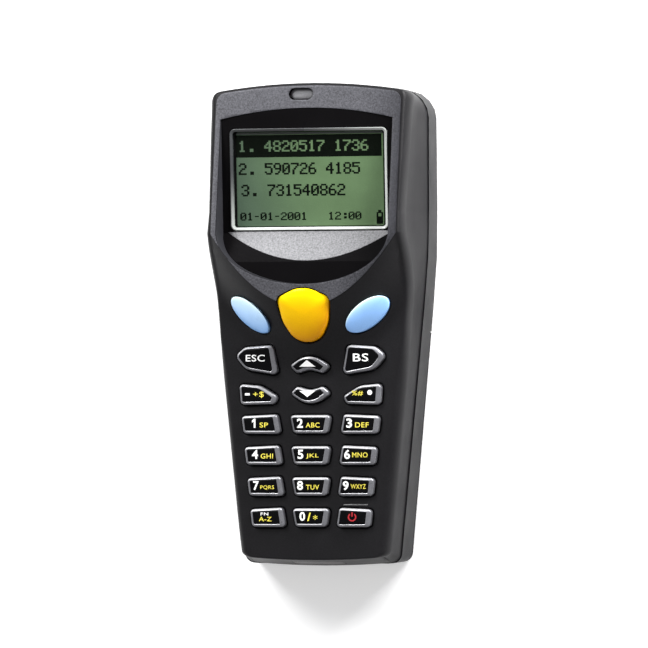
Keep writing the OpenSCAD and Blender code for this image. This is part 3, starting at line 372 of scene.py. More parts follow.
# the half width less the round corners at the tail and, of the radius given, at the scan end
def planWidth(y, noseR):
    return (halfWidth(y) - roundDrop(noseR, (y - noseEnd + noseR) / noseR)
            - roundDrop(form["tailR"], (tailEnd + form["tailR"] - y) / form["tailR"]))


# how far the upper edge at the tail stands back from the foot of its wall, easing in with the square
def tailShift(y):
    start = form["tailLeanFrom"]
    return form["tailLean"] * np.clip((start - y) / (start - tailEnd), 0, 1) ** 2


# both ends bulge as parabolas across the width, fading out towards the middle
def endArch(x, y):
    start = form["archFrom"]
    nose = form["noseArch"] * np.clip((y - start) / (noseEnd - start), 0, 1) ** 2
    tail = form["tailArch"] * np.clip((-start - y) / (-start - tailEnd), 0, 1) ** 2
    return (1 - (x / halfWidth(y)) ** 2) * (nose - tail)


# height of the head's rim: level, then falling in a straight line to the scan end
def rimZ(y):
    fall = (form["ridgeZ"] - form["noseZ"]) / (form["length"] / 2 - form["fallY"])
    return form["ridgeZ"] - fall * soft(y - form["fallY"], form["fallBlend"])


# the ridge line in plan, a parabola
def crestLine(x):
    return form["crestY"] + form["crestBend"] * x * x


# the small rounds of the upper edges at both ends
def edgeDrop(y):
    return (roundDrop(form["noseEdge"], (y - noseEnd + form["noseEdge"]) / form["noseEdge"])
            + roundDrop(form["tailEdge"], (tailEnd + form["tailEdge"] - y) / form["tailEdge"]))


# front height: the rim above the ridge line, and below it a slope that eases out onto the deck
def frontZ(x, y):
    crest = crestLine(x)
    s = np.clip((crest - y) / form["slope"], 0, 1)
    low = form["deckZ"] + (rimZ(crest) - form["deckZ"]) * (1 - s) ** 2 * (1 + form["slopeEase"] * s)
    return np.where(y >= crest, rimZ(y), low) - edgeDrop(y)


# rows of the grid bend with the ridge, fully at its lowest point and fading out both ways
def rowY(y, u):
    rise = (y - form["slopeLow"]) / (form["crestY"] - form["slopeLow"])
    fall = (form["slopeHigh"] - y) / (form["slopeHigh"] - form["crestY"])
    return y + form["crestBend"] * (u * ridgeW) ** 2 * np.clip(np.minimum(rise, fall), 0, 1)


# how finely the grid follows the corners of the plan, the shoulders and the breadth of the face
gridLook = dict(corner=14, shoulder=9, breadth=46, least=5)


# a quarter turn in radians, in steps that grow finer with the pitch
def quarterSteps(detail, pitch):
    return np.radians(np.linspace(0, 90, max(gridLook["least"], int(detail / pitch ** 0.5))))


# places along the length: turns at both ends and even steps between the lines where the form changes
def stationsFor(e, pitch):
    a, b = tailEnd + e, noseEnd - e
    ra, rb = max(form["tailR"] - e, 1), max(form["noseR"] - e, 1)
    turns = quarterSteps(gridLook["corner"], pitch)
    steps = lambda p, q: np.linspace(p, q, max(2, int(abs(q - p) / pitch)) + 1)[1:]
    low, crest, high = form["slopeLow"], form["crestY"], form["slopeHigh"]
    return arrayOf(a + ra * (1 - np.cos(turns)), steps(a + ra, low), steps(low, crest), steps(crest, high),
        steps(high, b - rb), (b - rb * (1 - np.sin(turns)))[1:])


# columns over the body: share of the flat, sine of the turn on the shoulder, drop on the shoulder
def columnsFor(pitch):
    turns = quarterSteps(gridLook["shoulder"], pitch)[:0:-1]
    flat = np.linspace(-1, 1, int(gridLook["breadth"] / pitch) + 1)
    left = np.stack([-np.ones_like(turns), -np.sin(turns), 1 - np.cos(turns)], 1)
    return np.concatenate([left, np.stack([flat, 0 * flat, 0 * flat], 1), left[::-1] * [-1, -1, 1]])


# face points of the front, inset by e, and the points below them at the base: the shoulder is an
# ellipse, r wide and h high, and in the head it starts at the end of the ridge; the foot stands back
# a little, which shows the seam as a ledge
def frontGrid(e, base, pitch):
    c = columnsFor(pitch)[None]
    y = rowY(stationsFor(e, pitch)[:, None], c[..., 0])
    foot = planWidth(y, form["noseR"]) - e
    share = step01((y - form["slopeLow"]) / (form["crestY"] - form["slopeLow"]))
    h = form["shoulderH"] + (form["headShoulder"] - form["shoulderH"]) * share
    wide = planWidth(y, form["noseTop"]) - e - form["headIn"] * share
    top = wide - form["draft"] * (frontZ(wide, y) - h - form["seamZ"])
    r = form["shoulder"] + (top + e - ridgeW - form["shoulder"]) * share
    r = np.maximum(np.maximum(r, form["shoulderLeast"]) - e, 0.5)
    flatX = c[..., 0] * (top - r)
    x = flatX + c[..., 1] * r
    lowX = x * (foot - form["footIn"]) / top
    lowY = (y + endArch(lowX, y)) * (1 - form["footShare"])
    face = np.stack([x, y + endArch(x, y) + tailShift(y), frontZ(flatX, y) - e - c[..., 2] * (h - e)], -1)
    return face, np.stack([lowX, lowY, np.full_like(x, base)], -1)


# closed front form, inset by e: the face grid, a skirt of straight lines down to a base below the
# seam, and one flat base; the loop round the grid runs anticlockwise seen from the face
def frontForm(name, e, pitch, below=0.0):
    face, foot = frontGrid(e, form["seamZ"] - below, pitch)
    m, n = face.shape[:2]
    index = np.arange(m * n).reshape(m, n)
    loop = arrayOf(index[0, :-1], index[:-1, -1], index[-1, :0:-1], index[:0:-1, 0]).astype(int)
    upper, lower = face.reshape(-1, 3)[loop], foot.reshape(-1, 3)[loop]
    skirt = [upper + (lower - upper) * f for f in (0.33, 0.66)] + [lower]
    count = len(loop)
    rows = [loop] + [m * n + k * count + np.arange(count) for k in range(len(skirt))]
    faces = gridQuads(m, n)
    for a, b in zip(rows, rows[1:]):
        faces += np.stack([a, b, np.roll(b, -1), np.roll(a, -1)], 1).tolist()
    faces.append(rows[-1][::-1].tolist())
    return makePiece(name, np.concatenate([face.reshape(-1, 3)] + skirt), faces, sharpAngle=50)


smooth = dict(depth=0.02, speckle=0.03)  # polished and printed surfaces, with hardly a grain

# one material for each slot of the record, and those that only this script uses
materials = dict(
    shell_plastic=finish("shellPlastic", (0.0048, 0.0045, 0.0054), 0.44, 0.128, grain=2600, depth=0.3,
        speckle=0.3),
    black_gloss=finish("blackGloss", (0.0035, 0.0032, 0.0036), 0.25, 0.02, depth=0.03, speckle=0.05),
    key_gloss=finish("keyGloss", (0.002, 0.002, 0.0024), 0.12, 0.04, **smooth),
    chin_silver=finish("chinSilver", (0.115, 0.115, 0.121), 0.42, 0.4, metallic=0.25, grain=2400, depth=0.3,
        speckle=0.4),
    lens_clear=finish("lensFrame", (0.35, 0.36, 0.36), 0.2, 0.5),
    # painted shadow: the screen's glass darkens towards its left, as if shaded by the recess's wall
    lcd_green=finish("lcdBack", (0.055, 0.078, 0.06), 0.5, 0.05, **smooth,
        toward=((0.102, 0.152, 0.082), (1, 0.25, 0), -0.016, 0.014), across=True),
    # painted shade: the plate darkens towards its right edge, as if lit from the left
    plate_grey=finish("plateGrey", (0.052, 0.052, 0.059), 0.45, 0.2, metallic=0.3, grain=2400, depth=0.3,
        speckle=0.45, toward=((0.018, 0.018, 0.022), (1, -0.12, 0), 0.004, 0.022), across=True),
    # painted highlight and shade: the rim turns light towards its lower right and stays dark at its upper
    # left, as if lit from the upper left
    lens_rim=finish("lensRim", (0.03, 0.032, 0.034), 0.25, 0.35, **smooth,
        toward=((0.5, 0.52, 0.5), (0.6, -1.0, 0), -0.052, -0.026), across=True),
    screen_ink=finish("screenInk", (0.002, 0.003, 0.002), 0.6, 0.03, depth=0.02, speckle=0.05),
    liner_grey=finish("linerGrey", (0.018, 0.018, 0.021), 0.5, 0.1, grain=2600, depth=0.15, speckle=0.15),
    mask_grey=finish("maskGrey", (0.07, 0.072, 0.072), 0.5, 0.1, **smooth),
    white_plastic=finish("whitePlastic", (0.75, 0.75, 0.72), 0.4),
    mark_white=finish("markWhite", (0.85, 0.85, 0.84), 0.45, 0.2, **smooth),
    mark_yellow=finish("markYellow", (0.72, 0.62, 0.08), 0.45, 0.2, **smooth),
    mark_red=finish("markRed", (0.36, 0.02, 0.025), 0.45, 0.2, **smooth),
    light_grey=finish("lightGuide", (0.2, 0.2, 0.21), 0.35, 0.4, depth=0.1, speckle=0.2),
    board_green=finish("boardGreen", (0.02, 0.13, 0.06), 0.35, blotch=400, speckle=0.2),
    chip_black=finish("chipBlack", (0.02, 0.02, 0.022), 0.45, speckle=0.3),
    mat_rubber=finish("matRubber", (0.1, 0.1, 0.11), 0.65, 0.3),
    steel=finish("steel", (0.6, 0.6, 0.6), 0.3, metallic=1.0, depth=0.05),
    scan_red=finish("scanRed", (0.1, 0.004, 0.008), 0.08, coat=0.5, depth=0.01),
    engine_grey=finish("engineGrey", (0.04, 0.04, 0.045), 0.45),
    latch_grey=finish("latchGrey", (0.08, 0.08, 0.085), 0.5, speckle=0.3),
    cell_wrap=finish("cellWrap", (0.4, 0.2, 0.05), 0.3, metallic=0.5),
    ir_black=finish("irBlack", (0.006, 0.003, 0.004), 0.3, 0.06, depth=0.01, speckle=0.05),
    gold_plate=finish("goldPlate", (0.75, 0.52, 0.18), 0.28, metallic=1.0, depth=0.05),
    # painted light: the dome turns pale yellow where it faces up towards the scan end and the left, and deep
    # orange where it faces away
    key_yellow=finish("keyYellow", (0.62, 0.26, 0.0), 0.3, 0.12, depth=0.04, speckle=0.03,
        toward=((1.0, 0.66, 0.0), (-0.25, 0.75, 0.5), -0.15, 0.65)),
    # painted light: the dome turns pale where it faces up towards the scan end and the left, and deeper blue
    # where it faces away
    key_blue=finish("keyBlue", (0.27, 0.5, 0.9), 0.3, 0.2, depth=0.04, speckle=0.03,
        toward=((0.8, 0.98, 1.0), (-0.35, 0.7, 0.5), -0.1, 0.8)),
    # painted highlight: the skirt's lips that face up towards the scan end and the left turn pale silver
    key_silver=finish("keySilver", (0.13, 0.13, 0.142), 0.3, 0.5, metallic=0.5, grain=2600, depth=0.1,
        speckle=0.15, toward=((0.55, 0.55, 0.57), (-0.3, 0.75, 0.55), 0.55, 0.95)),
    rib=finish("ribPlastic", (0.012, 0.012, 0.013), 0.3, 0.7, grain=2600, depth=0.1, speckle=0.2))


# a clear pane: what lies behind shows through, a trace darker where a faint haze lies
def clearPane(name, colour):
    material, tree = newMaterial(name)
    tree.nodes.remove(tree.nodes["Principled BSDF"])
    place = addNode(tree, "TexCoord")
    haze = addNode(tree, "TexNoise", {"Scale": 160.0, "Detail": 2.0})
    trace = addNode(tree, "MapRange", {"To Min": 0.99, "To Max": 1.0})
    tint = addNode(tree, "HueSaturation", {"Color": (*colour, 1.0)})
    clear = addNode(tree, "BsdfTransparent")
    wire(tree,
        (place, "Object", haze, "Vector"), (haze, "Fac", trace, "Value"), (trace, "Result", tint, "Value"),
        (tint, "Color", clear, "Color"), (clear, 0, tree.nodes["Material Output"], "Surface"))
    return material


materials["lens_pane"] = clearPane("lensPane", (0.97, 0.99, 0.97))
slotOf = {part["node"]: part["material_slot"] for part in frame["record"]["subparts"]}

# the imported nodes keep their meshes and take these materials
for name, slot in slotOf.items():
    for place in frame["nodes"][name].material_slots:
        place.material = materials[slot]
print("materials made:", len(materials))


# keypad layout, as in the part's own source; the steps say how far the columns draw in from row to row
keypad = dict(gap=0.3, rise=1.7, keyH=4.8, keyW=9.7, keyStep=0.33, centreWide=1.04, numberY=-24.9, pitch=7.83,
    columnX=12.7, columnStep=0.55, signY=-17.4, signSteps=1.2, signSize=(9.6, 5.2), escapeY=-8.7,
    escapeSteps=2, escapeSize=(10.8, 7.6), arrowLift=1.4, arrowSize=(10.0, 4.5), enterL=12.6, enterW=5.8,
    enterTurn=40.0, enterX=15.2, enterY=2.7, enterRise=0.6, triggerY=2.6, triggerCrown=1.5, triggerZ=29.15,
    triggerSlope=0.33, triggerSize=(13.2, 13.4), skirtLow=18.65, stemLow=17.9, stemR=1.4, wider=0.5)
plainNames = ["number_%d" % digit for digit in range(1, 10)] + ["alpha_key", "number_0", "power_key"]
specialNames = ["escape_key", "backspace_key", "up_key", "down_key", "minus_key", "percent_key"]
domeNames = ["trigger_key", "enter_left", "enter_right"]

# corner points as shares of width and height, with their radius in millimetres
cornerShares = dict(
    centre=[(-0.42, -0.48, 1), (0.42, -0.48, 1), (0.51, 0.48, 0.9), (-0.51, 0.48, 0.9)],
    left=[(-0.46, -0.49, 0.9), (0.49, -0.5, 0.9), (0.4, 0.52, 0.8), (-0.52, 0.43, 0.9)],
    backspace=[(-0.49, -0.51, 1.2), (0.26, -0.32, 3.6), (0.51, 0.13, 1.4), (0.28, 0.43, 2.4),
        (-0.37, 0.5, 1.2)],
    minus=[(-0.47, -0.5, 1), (0.4, -0.46, 1.1), (0.49, -0.1, 1), (0.05, 0.42, 4), (-0.51, 0.52, 1)],
    arrow=[(-0.32, -0.45, 1), (0, -0.22, 4), (0.32, -0.45, 1), (0.5, -0.04, 0.8), (0, 0.75, 5),
        (-0.5, -0.04, 0.8)],
    trigger=[(0, 0.56, 8), (-0.52, 0.32, 1.8), (-0.44, -0.13, 8), (-0.26, -0.43, 5), (0, -0.53, 4.5),
        (0.26, -0.43, 5), (0.44, -0.13, 8), (0.52, 0.32, 1.8)])


# a key's outline, of the size given
def shapedOutline(shape, w, h):
    return roundedOutline([(a * w, b * h, r) for a, b, r in cornerShares[shape]], 7)


# left for right, with its points still in anticlockwise order
def mirroredOutline(outline):
    return outline[::-1] * [-1, 1]


# the blue keys: an ellipse turned by an angle in degrees
def enterOutline(turnBy):
    t = np.radians(np.arange(0, 360, 5))
    a = math.radians(turnBy)
    p = np.stack([keypad["enterL"] / 2 * np.cos(t), keypad["enterW"] / 2 * np.sin(t)], 1)
    return p @ np.array([[math.cos(a), math.sin(a)], [-math.sin(a), math.cos(a)]])


# centre and outline of a number key: rows of three that draw in towards the tail
def numberShape(name):
    k = keypad
    row, column = divmod(plainNames.index(name), 3)
    w = k["keyW"] - k["keyStep"] * row
    centre = ((column - 1) * (k["columnX"] - k["columnStep"] * row), k["numberY"] - k["pitch"] * row)
    if column == 1:
        return centre, shapedOutline("centre", w * k["centreWide"], k["keyH"])
    left = shapedOutline("left", w, k["keyH"])
    return centre, left if column == 0 else mirroredOutline(left)


# centre and outline of the other keys
def otherShapes():
    k = keypad
    escapeX = k["columnX"] + k["escapeSteps"] * k["columnStep"]
    signX = k["columnX"] + k["signSteps"] * k["columnStep"]
    backspace = shapedOutline("backspace", *k["escapeSize"])
    arrow = shapedOutline("arrow", *k["arrowSize"])
    minus = shapedOutline("minus", *k["signSize"])
    return dict(
        trigger_key=((0, k["triggerY"]), shapedOutline("trigger", *k["triggerSize"])),
        enter_left=((-k["enterX"], k["enterY"]), enterOutline(-k["enterTurn"])),
        enter_right=((k["enterX"], k["enterY"]), enterOutline(k["enterTurn"])),
        backspace_key=((escapeX, k["escapeY"]), backspace),
        escape_key=((-escapeX, k["escapeY"]), mirroredOutline(backspace)),
        up_key=((0, k["escapeY"] - k["arrowLift"]), arrow),
        down_key=((0, k["signY"]), arrow[::-1] * [1, -1]),
        minus_key=((-signX, k["signY"]), minus),
        percent_key=((signX, k["signY"]), mirroredOutline(minus)))


# centre and outline of every key; the caps with an insert reach a little further to the left
def makeShapes():
    shapes = {name: numberShape(name) for name in plainNames} | otherShapes()
    for name in plainNames + specialNames:
        place, outline = shapes[name]
        half = np.abs(outline[:, 0]).max()
        shapes[name] = place, outline - [1, 0] * (half - outline[:, :1]) / (2 * half) * keypad["wider"]
    return shapes


keyShapes = makeShapes()


# height and slope of the plane that a key's face lies in, measured over a small reach round its centre
def facePlane(name, reach=1.5):
    if name == "trigger_key":
        return keypad["triggerZ"], np.array([0, keypad["triggerSlope"]])
    x, y = keyShapes[name][0]
    across = frontZ(x + reach, y) - frontZ(x - reach, y)
    along = frontZ(x, y + reach) - frontZ(x, y - reach)
    rise = keypad["enterRise" if name in domeNames else "rise"]
    return float(frontZ(x, y)) + rise, np.array([across, along]) / (2 * reach)


# the display's recess with its chin, and the lens and screen in it
display = dict(recessW=22.0, recessMargin=6.4, recessArch=2.7, recessTurn=23.6, recessLow=10.3,
    leftShare=1.032, lensW=40.8, lensLow=24.0, lensMargin=2.4, lensT=1.2, lensZ=23.8, lensRise=0.055,
    lensProud=0.4, lensR=1.4, bezelT=2.0, chinRise=4.2, chinL=7.4, chinGap=0.6, stripRise=0.4, stripPast=3.0,
    screenW=38.4, screenEdge=0.8)
recessTop = noseEnd - display["recessMargin"]
lensH = recessTop - display["lensMargin"] - display["lensLow"]
lensY = display["lensLow"] + lensH / 2


# height of the bezel's floor, which rises towards the scan end
def floorZ(y):
    return display["lensZ"] - display["lensProud"] + display["lensRise"] * (y - display["lensLow"])


chinTop = display["lensLow"] - display["chinGap"]
chinEnd = chinTop - display["chinL"]
stripZ = floorZ(chinTop) + display["chinRise"]


# half an ellipse below and an arched line above, the left half a little wider, grown by d
def recessOutline(d=0.0):
    w, b = display["recessW"], display["recessTurn"] - display["recessLow"]
    t = np.radians(np.linspace(180, 360, 60))
    low = np.stack([w * np.cos(t), display["recessTurn"] + b * np.sin(t)], 1)
    x = w * np.linspace(1, -1, 40)
    high = np.stack([x, recessTop + display["recessArch"] * (1 - (x / w) ** 2)], 1)
    outline = np.concatenate([low, high])
    outline[:, 0] *= np.where(outline[:, 0] < 0, display["leftShare"], 1)
    return grown(outline, d)


# the front shell's openings; the window is the scan window, and ir the infrared one in the tail;
# pitch and inside are how finely the shell and its inner form are made
casing = dict(pitch=0.7, inside=2.5, keyRound=0.3, triggerRound=0.48, keyLow=16.0, recessDeep=3.0,
    lightX=-1.9, lightY=noseEnd - 0.2, lightW=6.4, lightH=3.0, lightDeep=3.4, windowW=34.0, windowH=11.0,
    windowZ=10.6, windowR=1.0, windowSeat=noseEnd - 1.0, windowRim=2.4, windowDeep=4.2, fit=0.15,
    irW=13.0, irH=4.4, irZ=15.6, irFrom=-70.0, irPast=1.0, crease=32)
lightPlace = [casing["lightX"], casing["lightY"]]


# cutter for a key: the gap round its outline, with a rounded edge that follows the face
def keyCutter(name, radius):
    place, outline = keyShapes[name]
    base = outline + place
    rings = [ringAt(grown(base, keypad["gap"]), casing["keyLow"])]
    for across, below in quarterTurn(4):
        ring = grown(base, keypad["gap"] + radius * across)
        rings.append(ringAt(ring, frontZ(ring[:, 0], ring[:, 1]) - radius * below))
    rings.append(ringAt(ring, cutHigh))
    return skin(name + "Cut", rings)


# the scan window's opening, square to the scan end, from the depth y outwards
def windowCutter(name, grow, y, radius):
    outline = rectOutline(casing["windowW"] + grow, casing["windowH"] + grow, radius, 6)
    rows = [np.stack([outline[:, 0], np.full(len(outline), end), outline[:, 1] + casing["windowZ"]], 1)
        for end in (cutFar, y)]
    return skin(name, rows)


# a block round the infrared window, grown by the fit, from outside the tail to the depth given
def irBlock(name, fit, depth):
    w, h = casing["irW"] / 2 + fit, casing["irH"] / 2 + fit
    return block(name, (-w, casing["irFrom"], casing["irZ"] - h), (w, tailEnd + depth, casing["irZ"] + h))


# the shell: the front form less its inside, the recess, the keys, the windows and the light's slot
def buildFrontShell():
    look = casing
    shell = frontForm("frontShell", 0, look["pitch"])
    light = slotOutline(look["lightW"], look["lightH"]) + lightPlace
    cutters = [frontForm("frontInside", form["wall"], look["inside"], innerPast),
        prism("recessCut", recessOutline(), display["lensZ"] - look["recessDeep"], cutHigh)]
    for name in plainNames + specialNames + domeNames:
        cutters.append(keyCutter(name, look["triggerRound" if name == "trigger_key" else "keyRound"]))
    seat = look["windowSeat"]
    cutters += [
        windowCutter("windowSeat", 2 * look["fit"], seat, look["windowR"]),
        windowCutter("windowHole", -look["windowRim"], seat - look["windowDeep"], look["windowR"]),
        prism("lightCut", light, form["noseZ"] - look["lightDeep"], cutHigh),
        irBlock("irCut", look["fit"], form["wall"] + look["irPast"])]
    combine(shell, "DIFFERENCE", cutters)
    smoothByAngle(shell, look["crease"])
    dress(shell, materials["shell_plastic"])
    settle(shell, "housing", ["front_shell"])


buildFrontShell()
print("front shell built")


# the grey plate over the head, round the display
plate = dict(thick=0.9, rise=0.25, edge=0.2, margin=0.7, corner=2.6, pitch=0.7, underPitch=1.5, bevel=0.2,
    crease=50)


# along the ridge, round the corners and along the arched scan end
def plateOutline():
    w, r = ridgeW - plate["edge"], plate["corner"]
    endAt = lambda x: noseEnd - plate["margin"] + endArch(x, noseEnd)
    x = w * np.linspace(-1, 1, 97)
    low = np.stack([x, crestLine(x) + plate["edge"]], 1)
    t = np.radians(np.linspace(0, 90, 9))[:-1]
    corner = np.stack([w - r + r * np.cos(t), endAt(w - r) - r + r * np.sin(t)], 1)
    x = (w - r) * np.linspace(1, -1, 61)
    return np.concatenate([low, corner, np.stack([x, endAt(x)], 1), corner[::-1] * [-1, 1]])


# height of the plate's face
def plateZ(x, y):
    return frontZ(x, y) + plate["rise"]


# the plate: a layer over the front form, cut to its outline, less the recess, the trigger and the light
def buildHeadPlate():
    body = frontForm("headPlate", -plate["rise"], plate["pitch"])
    combine(body, "INTERSECT", [prism("plateOuter", plateOutline(), cutLow, cutHigh)])
    under = frontForm("plateLower", plate["thick"] - plate["rise"], plate["underPitch"], innerPast)
    place, outline = keyShapes["trigger_key"]
    light = slotOutline(casing["lightW"], casing["lightH"]) + lightPlace
    key = grown(outline, keypad["gap"]) + place
    holes = [prism("plateHole", hole, cutLow, cutHigh) for hole in (recessOutline(), key, light)]
    combine(body, "DIFFERENCE", [under] + holes)
    roundEdges(body, plate["bevel"], plate["crease"])
    dress(body, materials["plate_grey"])
    settle(body, "housing", ["head_plate"])


buildHeadPlate()
print("head plate built")

# caps with an insert: how far the glossy face stands in from the left, right, lower and upper edges,
# the lip round its seat, and the flank as shares of the way in with their heights
keyLook = dict(points=120, left=0.45, right=1.12, low=0.55, high=0.48, lip=0.14, seatIn=0.04, insertIn=0.06,
    faceDrop=0.05, faceRound=0.22, faceCrown=0.1, faceFloor=0.5, bury=0.1, crownSteps=(0.85, 0.65, 0.4, 0.15),
    flank=((0.0, -0.75), (0.05, -0.52), (0.16, -0.36), (0.35, -0.22), (0.75, -0.08), (0.92, -0.02),
        (1.0, 0.0), (1.03, 0.0)))

# the coloured keys: the rise falls as a power of one less the square of the share of the way out
domeLook = dict(rings=16, reach=0.96, pace=1.6, power=0.62, inset=0.3, crown=1.0)


# points of a face plane: x, y and the height on the tilted plane
def onPlane(ring, place, plane, lift):
    z, slope = plane
    return np.column_stack([ring + place, z + lift + ring @ slope])


# the outline drawn in by the mean inset, then stretched and moved to meet all four insets
def innerOutline(outline):
    look = keyLook
    inset = (look["low"] + look["high"]) / 2
    ring = evened(grown(outline, -inset), len(outline))
    low = outline.min(0) + [look["left"], look["low"]]
    high = outline.max(0) - [look["right"], look["high"]]
    share = (ring - ring.min(0)) / (ring.max(0) - ring.min(0))
    return low + share * (high - low)


# the foot of a key: its round stem, and the underside out to the outline
def footRings(base, place):
    stem = base / np.linalg.norm(base, axis=1)[:, None] * keypad["stemR"]
    rings = ((stem, keypad["stemLow"]), (stem, keypad["skirtLow"]), (base, keypad["skirtLow"]))
    return [ringAt(ring + place, z) for ring, z in rings]


# the silver skirt: upright at the deck, a straight flank in to a rounded lip, and the seat of the insert
def buildSkirt(name):
    look = keyLook
    place, outline = keyShapes[name]
    plane = facePlane(name)
    base = evened(outline, look["points"])
    inner = innerOutline(base)
    rings = footRings(base, place)
    for share, lift in ((0.0, look["bury"] - keypad["rise"]), *look["flank"]):
        rings.append(onPlane(base + (inner - base) * share, place, plane, lift))
    rings.append(onPlane(grown(inner, -look["lip"]), place, plane, -look["faceDrop"]))
    rings.append(onPlane(grown(inner, -look["lip"] - look["seatIn"]), place, plane, -look["faceFloor"]))
    settle(skin(name + "Skirt", rings, materials["key_silver"], 50), name, [name])


# the glossy insert: rounded at its edge, then crowned as a parabola
def buildFace(name):
    look = keyLook
    place, outline = keyShapes[name]
    plane = facePlane(name)
    base = grown(innerOutline(evened(outline, look["points"])), -look["lip"] - look["insertIn"])
    rings = [onPlane(base, place, plane, -look["faceFloor"] - look["bury"])]
    for across, below in quarterTurn(6):
        ring = grown(base, -look["faceRound"] * across)
        rings.append(onPlane(ring, place, plane, -look["faceDrop"] - look["faceRound"] * below))
    middle = ring.mean(0)
    for share in look["crownSteps"]:
        lift = look["faceCrown"] * (1 - share ** 2) - look["faceDrop"]
        rings.append(onPlane(middle + (ring - middle) * share, place, plane, lift))
    settle(skin(name + "Face", rings, materials["key_gloss"], 40), name)


# one of the three coloured keys: rings drawn in under a dome, the trigger's turning round on their way
def buildDome(name):
    look = domeLook
    place, outline = keyShapes[name]
    plane = facePlane(name)
    base = evened(outline, keyLook["points"])
    trigger = name == "trigger_key"
    crown = keypad["triggerCrown"] if trigger else look["crown"]
    colour = "key_yellow" if trigger else "key_blue"
    distance = np.linalg.norm(base, axis=1)[:, None]
    circle = base / distance * distance.mean()
    rings = footRings(base, place)
    for s in np.linspace(0, 1, look["rings"]):
        share = 1 - look["reach"] * s ** look["pace"]
        inset = look["inset"] * math.sin(s * math.pi / 2)
        ring = grown(base, -inset) * share if s else base
        if trigger:
            ring = ring + (circle * share - ring) * s
        rings.append(onPlane(ring, place, plane, crown * (1 - share ** 2) ** look["power"]))
    settle(skin(name + "Cap", rings, materials[colour], 50), name, [name])


for name in plainNames + specialNames:
    buildSkirt(name)
    buildFace(name)
for name in domeNames:
    buildDome(name)
print("keys built")


tilt = math.atan(display["lensRise"])


# from the tilted frame of the display: x, distance along it from the lens centre, height above its floor
def onDisplay(points):
    x, along, up = points.T
    return np.stack([x, lensY + along * math.cos(tilt) - up * math.sin(tilt),
        floorZ(lensY) + along * math.sin(tilt) + up * math.cos(tilt)], 1)


# an outline at one height above that floor
def tiltedRing(outline, height):
    return onDisplay(ringAt(outline, height))


# height of the bezel's face: it falls from the strip over the chin's ramp to the floor
def bezelZ(y):
    ramp = stripZ + (floorZ(chinTop) - stripZ) * np.clip((y - chinEnd) / (chinTop - chinEnd), 0, 1)
    run = chinEnd - display["recessLow"] + display["stripPast"]
    strip = stripZ + display["stripRise"] * np.clip((chinEnd - y) / run, 0, 1)
    return np.where(y > chinTop, floorZ(y), np.where(y > chinEnd, ramp, strip))


linerLook = dict(points=320, outer=-0.02, inner=-0.14, belowPlate=0.3, bury=0.4)


# grey lining of the recess's wall, just inside it, from the bezel up to the plate
def buildLiner():
    look = linerLook
    outer, inner = (evened(recessOutline(look[side]), look["points"]) for side in ("outer", "inner"))
    high = lambda ring: ringAt(ring, plateZ(ring[:, 0], ring[:, 1]) - look["belowPlate"])
    low = lambda ring: ringAt(ring, bezelZ(ring[:, 1]) - look["bury"])
    rings = [low(inner), high(inner), high(outer), low(outer), low(inner)]
    settle(skin("recessLiner", rings, materials["liner_grey"], 30, capped=False), "housing")


# the lens's raised border: a narrow flat top and a wide chamfer down to the pane
lensLook = dict(top=0.22, ease=0.06, chamfer=0.5, sink=0.3, outerRound=0.12, roundShare=0.3, paneGap=0.01)


# the border as pairs of inset and height carried round the lens, and the clear pane within it
def buildLens():
    look = lensLook
    outer = rectOutline(display["lensW"], lensH, display["lensR"])
    high, low = display["lensProud"], display["lensProud"] - display["lensT"]
    turn, top, edge = look["outerRound"], look["top"], look["top"] + look["chamfer"]
    part = turn * look["roundShare"]
    profile = [(0, low), (0, high - turn), (part, high - part), (turn, high), (top, high),
        (top + look["ease"], high - look["ease"] / 2), (edge, high - look["sink"]), (edge, low), (0, low)]
    rings = [tiltedRing(grown(outer, -inset), z) for inset, z in profile]
    rim = skin("lensRim", rings, materials["lens_rim"], 25, capped=False)
    settle(rim, "housing", ["display_lens"])
    ends = (low + 2 * look["paneGap"], high - look["sink"] - look["paneGap"])
    rings = [tiltedRing(grown(outer, -edge), z) for z in ends]
    settle(skin("lensPane", rings, materials["lens_pane"]), "housing")


# the screen's glass: its body under the bezel and its upper pane in the bezel's opening
screen = dict(bodyW=39.6, bodyT=1.9, bodyGap=0.4, seat=2.1, paneTop=0.98, paneGap=0.2, corner=0.3, bevel=0.08)
paneW = display["screenW"] - screen["paneGap"]
paneH = lensH - 2 * display["screenEdge"] - screen["paneGap"]


# the two outlines carried up from the body's foot to the pane's bevelled top
def buildScreen():
    look = screen
    body = rectOutline(look["bodyW"], lensH - look["bodyGap"], look["corner"], 3)
    pane = rectOutline(paneW, paneH, look["corner"], 3)
    seat, top = -look["seat"], -look["paneTop"]
    rings = [tiltedRing(body, seat - look["bodyT"]), tiltedRing(body, seat), tiltedRing(pane, seat),
        tiltedRing(pane, top - look["bevel"]), tiltedRing(grown(pane, -look["bevel"]), top)]
    settle(skin("screenGlass", rings, materials["lcd_green"], 25), "housing", ["lcd_panel"])


# digits of five by seven dots, row by row from the top
digitDots = {
    "0": "01110 10001 10011 10101 11001 10001 01110", "1": "00100 01100 00100 00100 00100 00100 01110",
    "2": "01110 10001 00001 00110 01000 10000 11111", "3": "01110 10001 00001 00110 00001 10001 01110",
    "4": "00010 00110 01010 10010 11111 00010 00010", "5": "11111 10000 11110 00001 00001 10001 01110",
    "6": "00110 01000 10000 11110 10001 10001 01110", "7": "11111 00001 00010 00100 01000 01000 01000",
    "8": "01110 10001 10001 01110 10001 10001 01110", "9": "01110 10001 10001 01111 00001 00010 01100",
    ".": "00000 00000 00000 00000 00000 00110 00110", "-": "00000 00000 00000 01110 00000 00000 00000",
    ":": "00000 00110 00110 00000 00110 00110 00000", " ": "00000 00000 00000 00000 00000 00000 00000"}

